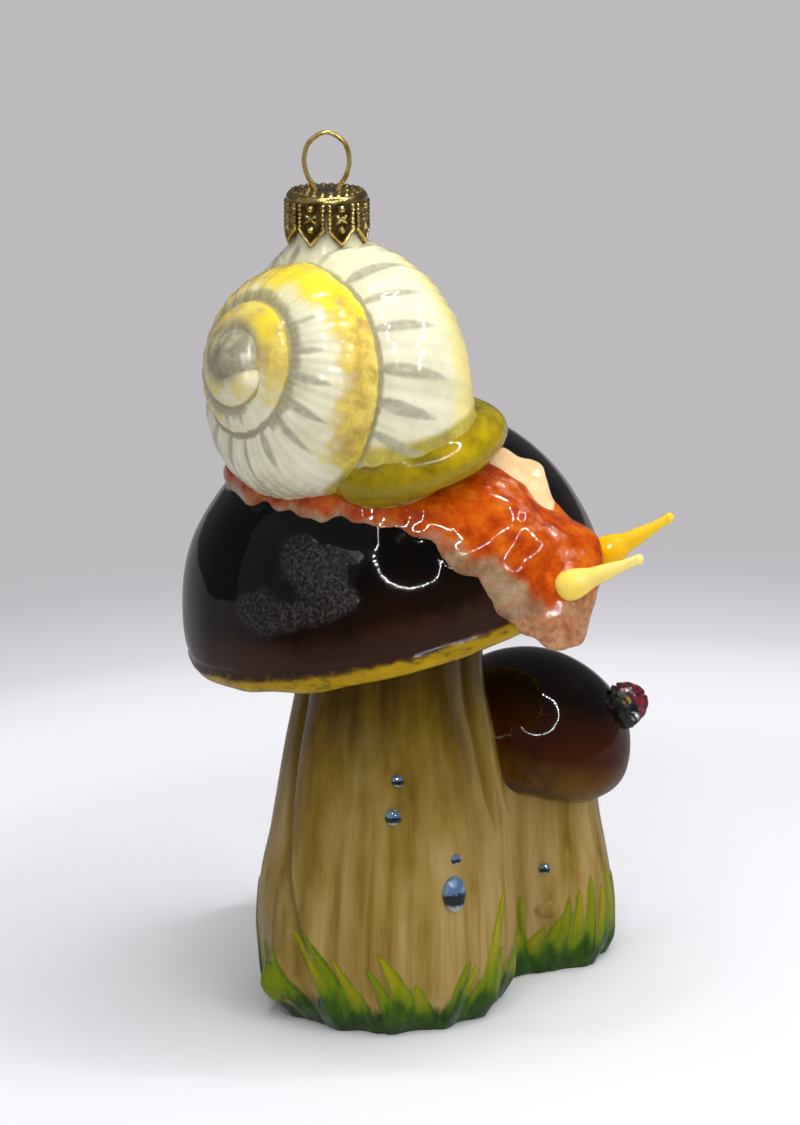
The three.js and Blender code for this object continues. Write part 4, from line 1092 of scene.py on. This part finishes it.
def crown_top():
    """The bossed top of the cup, with two holes for the hanger's legs."""
    flat, bend = CROWN_RADIUS - 0.9, np.linspace(0.1, math.pi / 2, 16)
    radii = np.concatenate([np.linspace(0.05, flat, 60), flat + 0.9 * np.sin(bend)])
    fall = np.concatenate([np.zeros(60), 1.1 * (1 - np.cos(bend))])
    R, T = np.meshgrid(radii, circle(240), indexing="ij")
    x, y = R * np.cos(T), R * np.sin(T)
    plain = -np.repeat(fall[:, None], 240, 1)
    height = plain
    for ring, count, size in ((5.3, 26, 0.42), (4.2, 20, 0.4), (3.1, 14, 0.4)):
        for k in range(count):
            a = TAU * (k + 0.5 * (count % 4 == 0)) / count
            boss = 0.6 * bead(x, y, ring * math.cos(a), ring * math.sin(a), size)
            height = np.maximum(height, plain + boss)
    dimples = 0.05 * grain(np.stack([x, y, 0 * x], -1), 0.8, 23)
    height = height + dimples * rise(R, CROWN_RADIUS, CROWN_RADIUS - 0.8)
    for side in (-1, 1):
        cx = side * LEG_SPACING / 2
        d = np.hypot(x - cx, y)
        near = d < LEG_HOLE
        x = np.where(near, cx + (x - cx) / np.maximum(d, 1e-6) * LEG_HOLE, x)
        y = np.where(near, y / np.maximum(d, 1e-6) * LEG_HOLE, y)
        height = np.where(near, -CROWN_SHEET * 0.5, height)
    inward = 1 - CROWN_SHEET / CROWN_RADIUS
    top = np.stack([x, y, height], -1)
    under = np.stack([x * inward, y * inward, np.minimum(height, plain) - CROWN_SHEET], -1)
    raised = rise(height - plain, -0.1, 0.16) * 0.6 + 0.4 * rise(R, 4.8, 5.8)
    grid = np.concatenate([top, under[::-1]]) + CROWN_MIDDLE
    return Form("crown_top", grid, {"relief": np.concatenate([raised, 0 * raised])})


def hanger_wire():
    """The bent wire: two splayed legs, a waist in the crown's holes and an oval loop."""
    half, steps = LEG_SPACING / 2, 420
    splay_from = -CROWN_SHEET - HANGER_TRAVEL - 0.6
    leg = [
        (half + LEG_SPLAY, -LEG_LENGTH),
        (half + LEG_SPLAY * 0.55, (splay_from - LEG_LENGTH) / 2),
        (half, splay_from),
        (half, -1),
        (half + 0.2, 0.4),
        (LOOP_RADIUS * 0.86, 2.3),
        (LOOP_RADIUS, 4.6),
        (LOOP_RADIUS * 0.76, 7.4),
    ]
    points = [(-x, 0, z) for x, z in leg] + [(0, 0, LOOP_TOP - WIRE / 2)] + [(x, 0, z) for x, z in leg[::-1]]
    path, tangent = smooth_path(points, steps)
    side = np.array([0.0, 1, 0])
    across = np.cross(tangent, side)
    turn = circle(28)[None, :, None]
    from_end = np.minimum(np.arange(steps), np.arange(steps)[::-1])
    r = WIRE / 2 * np.minimum(1, np.sqrt(from_end / 3 + 0.05))[:, None, None]
    grid = path[:, None] + r * (np.cos(turn) * side + np.sin(turn) * across[:, None])
    return Form("hanger_wire", grid + CROWN_MIDDLE)


# Making the pieces

# The gap left under the petals' tips, and how far from the neck's middle the press is level and ends
PETAL_ROOM, PRESS_FROM, PRESS_TO, PRESS_END = 0.25, 5.85, 7.2, 9


def clear_petals(form):
    """Presses the glass under the petals' tips down, so that the crown clears it as it turns."""
    out = np.hypot(form.points[:, 0] - NECK[0], form.points[:, 1] - NECK[1])
    tips = CROWN_TOP - CROWN_HEIGHT - PETAL_ROOM
    ceiling = tips + 4 * np.clip(PRESS_FROM - out, 0, None) + 0.6 * np.clip(out - PRESS_TO, 0, None)
    form.points[:, 2] = np.where(out < PRESS_END, np.minimum(form.points[:, 2], ceiling), form.points[:, 2])


glass = [
    big_stem(), small_stem(), big_cap(), small_cap(), snail_foot(), shell(), shell_apex(), shell_lip(),
    glass_neck(), stem_web()]
round_creases(glass, {frozenset(pair): reach for pair, reach in {
    ("big_stem", "big_cap"): 2.2,
    ("big_stem", "small_stem"): 3.0,
    ("big_stem", "stem_web"): 3.0,
    ("small_stem", "stem_web"): 3.0,
    ("small_cap", "stem_web"): 1.8,
    ("big_stem", "small_cap"): 2.2,
    ("small_stem", "small_cap"): 1.8,
    ("big_cap", "snail_foot"): 1.8,
    ("big_cap", "shell"): 1.2,
    ("big_cap", "small_cap"): 1.5,
    ("snail_foot", "shell"): 1.2,
    ("snail_foot", "shell_lip"): 1.4,
    ("shell", "shell_lip"): 5.5,
    ("shell", "shell_apex"): 3.2,
    ("shell", "glass_neck"): 4.5,
}.items()})

# The filled creases end at the floor, and the top of the shell makes room for the petals
for form in glass:
    form.points[:, 2] = np.maximum(form.points[:, 2], 0)
    if form.name in ("shell", "glass_neck"):
        clear_petals(form)

stem_finish, shell_finish = stem_paint("streaked_stem_paint"), shell_paint("ivory_shell_paint")
glass_paint = {
    "big_stem": stem_finish,
    "small_stem": stem_finish,
    "stem_web": stem_finish,
    "big_cap": cap_paint(
        "dark_cap_lacquer", dark="#040201", brown="#160701", warm="#3e1c05", rim="#a68408",
        rim_streak="#5a4a0a", warms=0.74, frost=0.7),
    "small_cap": cap_paint(
        "chestnut_cap_lacquer", dark="#0a0502", brown="#3c1903", warm="#74500a", rim="#8c6e10",
        rim_streak="#5f4a0c", warms=0.4, frost=0.3),
    "snail_foot": snail_paint("orange_snail_paint"),
    "shell": shell_finish,
    "shell_apex": shell_finish,
    "shell_lip": lip_paint("olive_lip_paint"),
    "glass_neck": shell_finish,
}
for form in glass:
    piece(form, glass_paint[form.name], "ornament", "glass_body")

# Horns: where each sits, as a share of the cap's radius, which way it leans, its sleeve and its bend
for name, node, seat, lean, sleeve, bend, paint in (
        ("near_tentacle", "right_tentacle", (0.8, -0.83, 0.285), (0.884, -0.237, 0.403), 0, 0.2,
         horn_paint("pale_horn_paint", "#fbe78e", "#f9dc62")),
        ("far_tentacle", "left_tentacle", (0.976, -0.432, 0.33), (0.863, -0.16, 0.479), 0.15, 0.7,
         horn_paint("amber_horn_paint", "#fbd440", "#f2b804"))):
    piece(tentacle(name, seat, lean, sleeve, bend), paint, "ornament", node)

black_glass = beetle_paint("beetle_black_glass", "#1c2a20", "#070a08", 0.9, 0.25)
body_half = (BEETLE_WIDTH, BEETLE_LENGTH, SADDLE)
cases_half = (BEETLE_WIDTH, BEETLE_LENGTH * 0.84, BEETLE_HEIGHT)
cases_centre = np.array([0, -BEETLE_LENGTH * 0.2, 0])
beetle_body = dome("beetle_body", body_half, -0.84, np.array([0, 0, 0.2]), beetle_skin)
piece(beetle_body, black_glass, "ornament", "ladybird_body")
beetle_head = dome("beetle_head", HEAD_HALF, -1.2, HEAD_CENTRE, beetle_skin)
piece(beetle_head, black_glass, "ornament", "ladybird_body")
wing_cases = dome("beetle_wing_cases", cases_half, SADDLE + 0.1, cases_centre, wing_shape)
red_glass = beetle_paint("wing_case_red_glass", "#8a1a2e", "#3a0a14", 1.4, 0.12)
piece(wing_cases, red_glass, "ornament", "ladybird_wing_cases")
# Each eye's three colours are its painted reflection: bright top, dark band and pale lower edge
for name, node, side, tints, slot in (
        ("amber_eye", "ladybird_amber_eye", 1, ("#e0a83c", "#5a3408", "#f3d58a"), "amber_crystal"),
        ("clear_eye", "ladybird_clear_eye", -1, ("#eef3f6", "#5d6a70", "#ffffff"), "clear_crystal")):
    share = unit([side * 0.42, 0.72, 0.55])
    spot = beetle_pose(HEAD_CENTRE + share * HEAD_HALF)
    outward, upright = direction(beetle_pose, share / HEAD_HALF), direction(beetle_pose, [0, 0, 1])
    eye = crystal(name, spot, outward, upright, (EYE, EYE), EYE * 0.7, 0.4)
    piece(eye, stone_paint(name + "_foil", *tints), "ornament", node)

# Painted reflection for the clear stones: pale blue top, dark band, pale lower edge
crystal_reflection_paint = stone_paint("clear_crystal_foil", "#8fb6e6", "#2a3138", "#d5dde4")
for name, (stem, turn, share, half) in CRYSTALS.items():
    stone = crystal(name + "_stone", *on_stem(*stem, turn, share), half, 0.62 * half[0])
    piece(stone, crystal_reflection_paint, "ornament", name)

crown_gold = gold_paint("antique_gold", "#f2da92", "#735818", 0.26, 1.6, stamped=1.0)
for form in [petal(k) for k in range(PETALS)] + [crown_top()]:
    piece(form, crown_gold, "cap", "crown_cap")
wire_gold = gold_paint("gold_wire_plate", "#ecd488", "#b4923e", 0.2, 2.5, metallic=0.75)
piece(hanger_wire(), wire_gold, "hanger", "hanger")


# Floor, light and camera

def pale_floor():
    """The floor's paint: it takes the object's shadow close by and glows as a pale backdrop further off.

    The lacquer, through glossy rays, sees it darker close to the object and in front of it.
    """
    p = Paint("pale_floor", roughness=0.6)
    spot = p.place()
    from_object = p.node("ShaderNodeVectorMath", {"operation": "SUBTRACT"}, {0: spot, 1: (40, 0, 0)})
    away = p.node("ShaderNodeVectorMath", {"operation": "LENGTH"}, {0: from_object}, out=1)
    back = p.node("ShaderNodeSeparateXYZ", None, {0: spot}, out=1)
    camera_ray = p.node("ShaderNodeLightPath", out="Is Camera Ray")
    glossy_ray = p.node("ShaderNodeLightPath", out="Is Glossy Ray")
    close = away.rise(300, 150) * glossy_ray
    room = back.rise(-60, -170) * glossy_ray
    backdrop = p.ramp(away / 400, [
        (0.38, "#fdfcff"), (0.45, "#f2f1f6"), (0.49, "#e9e8ec"), (0.53, "#dad8dd"), (0.6, "#cbc9ce"),
        (0.66, "#bfbdc1"), (0.76, "#bcbabd")])
    for share in (glossy_ray * 0.35, close * 0.7, room):
        backdrop = p.mix(share, backdrop, ink("#5a595c"))
    glow = p.node("ShaderNodeEmission", None, {"Color": backdrop, "Strength": 1.0})
    p.wear(base_color=p.ramp(away / 1000, [
        (0.0, "#f3f2f7"), (0.15, "#f3f2f7"), (0.3, "#e0dfe4"), (1.0, "#cfced2")]))
    share = away.rise(110, 185).most(room.most(close)) * camera_ray.most(glossy_ray)
    surface = Value(p, p.shader.outputs[0])
    both = p.node("ShaderNodeMixShader", None, {0: share, 1: surface, 2: glow})
    p.tree.links.new(both.socket, p.tree.nodes["Material Output"].inputs["Surface"])
    return p


FLOOR_SIDES = 128
floor_radii = np.concatenate([[0.02], np.geomspace(0.05, 3.0, 40)])
inner = np.arange(len(floor_radii) - 1)[:, None] * FLOOR_SIDES
here, onward = np.arange(FLOOR_SIDES), (np.arange(FLOOR_SIDES) + 1) % FLOOR_SIDES
outer = inner + FLOOR_SIDES
floor_faces = np.stack([inner + here, inner + onward, outer + onward, outer + here], -1).reshape(-1, 4)
floor_mesh = bpy.data.meshes.new("floor")
floor_mesh.from_pydata(
    polar(floor_radii[:, None], circle(FLOOR_SIDES), 0.0).reshape(-1, 3).tolist(), [],
    floor_faces.tolist() + [here.tolist()])
floor_mesh.materials.append(pale_floor().material)
floor = bpy.data.objects.new("floor", floor_mesh)
bpy.context.scene.collection.objects.link(floor)


def softbox(name, place, target, size, power):
    """A flat lamp in metres and watts, turned to a target."""
    lamp = bpy.data.lights.new(name, "AREA")
    lamp.shape, lamp.size, lamp.size_y = "RECTANGLE", size[0], size[1]
    lamp.energy = power
    obj = bpy.data.objects.new(name, lamp)
    obj.location = place
    obj.rotation_euler = (Vector(target) - Vector(place)).to_track_quat("-Z", "Y").to_euler()
    bpy.context.scene.collection.objects.link(obj)
    return obj


key = softbox("key", (0.8, -0.2, 1.0), (0, 0, 0.07), (2.2, 2.0), 8)
softbox("fill", (-1.1, -0.5, 0.8), (0, 0, 0.07), (2.0, 1.6), 1.6)
top = softbox("top", (0, 0.15, 1.2), (0, 0, 0), (2.2, 2.2), 8.5)
for lamp in (key, top):
    lamp.visible_glossy = False

# The ring of small bulbs that shows in the lacquer
BULBS, BULB_SIZE, BULB_POWER = 56, (0.006, 0.006), 0.042
RING_X, RING_Y, RING_Z, RING_WIDE, RING_DEEP = 0.11, -0.39, 0.42, 0.21, 0.38
for k, a in enumerate(circle(BULBS)):
    spot = (RING_X + RING_WIDE * math.cos(a), RING_Y + RING_DEEP * math.sin(a), RING_Z)
    softbox(f"bulb_{k}", spot, (0, 0, 0.06), BULB_SIZE, BULB_POWER)

# Dim light from all round, which the camera sees as the backdrop's grey
world = bpy.data.worlds.new("studio")
world.use_nodes = True
nodes, link = world.node_tree.nodes, world.node_tree.links.new
dim, seen, either = nodes["Background"], nodes.new("ShaderNodeBackground"), nodes.new("ShaderNodeMixShader")
dim.inputs["Color"].default_value = (0.93, 0.95, 1, 1)
dim.inputs["Strength"].default_value = 0.12
seen.inputs["Color"].default_value = ink("#bcbabd")
link(nodes.new("ShaderNodeLightPath").outputs["Is Camera Ray"], either.inputs[0])
link(dim.outputs[0], either.inputs[1])
link(seen.outputs[0], either.inputs[2])
link(either.outputs[0], nodes["World Output"].inputs["Surface"])
bpy.context.scene.world = world

camera = bpy.data.cameras.new("camera")
camera.lens, camera.sensor_width = 132.8, 36
camera.clip_start, camera.clip_end = 0.01, 20
camera_object = bpy.data.objects.new("camera", camera)
camera_object.location = (0.0019, -0.635, 0.244)
camera_object.rotation_euler = (math.radians(74.9), 0, 0)
bpy.context.scene.collection.objects.link(camera_object)
bpy.context.scene.camera = camera_object
bpy.context.scene.view_settings.view_transform = "Standard"
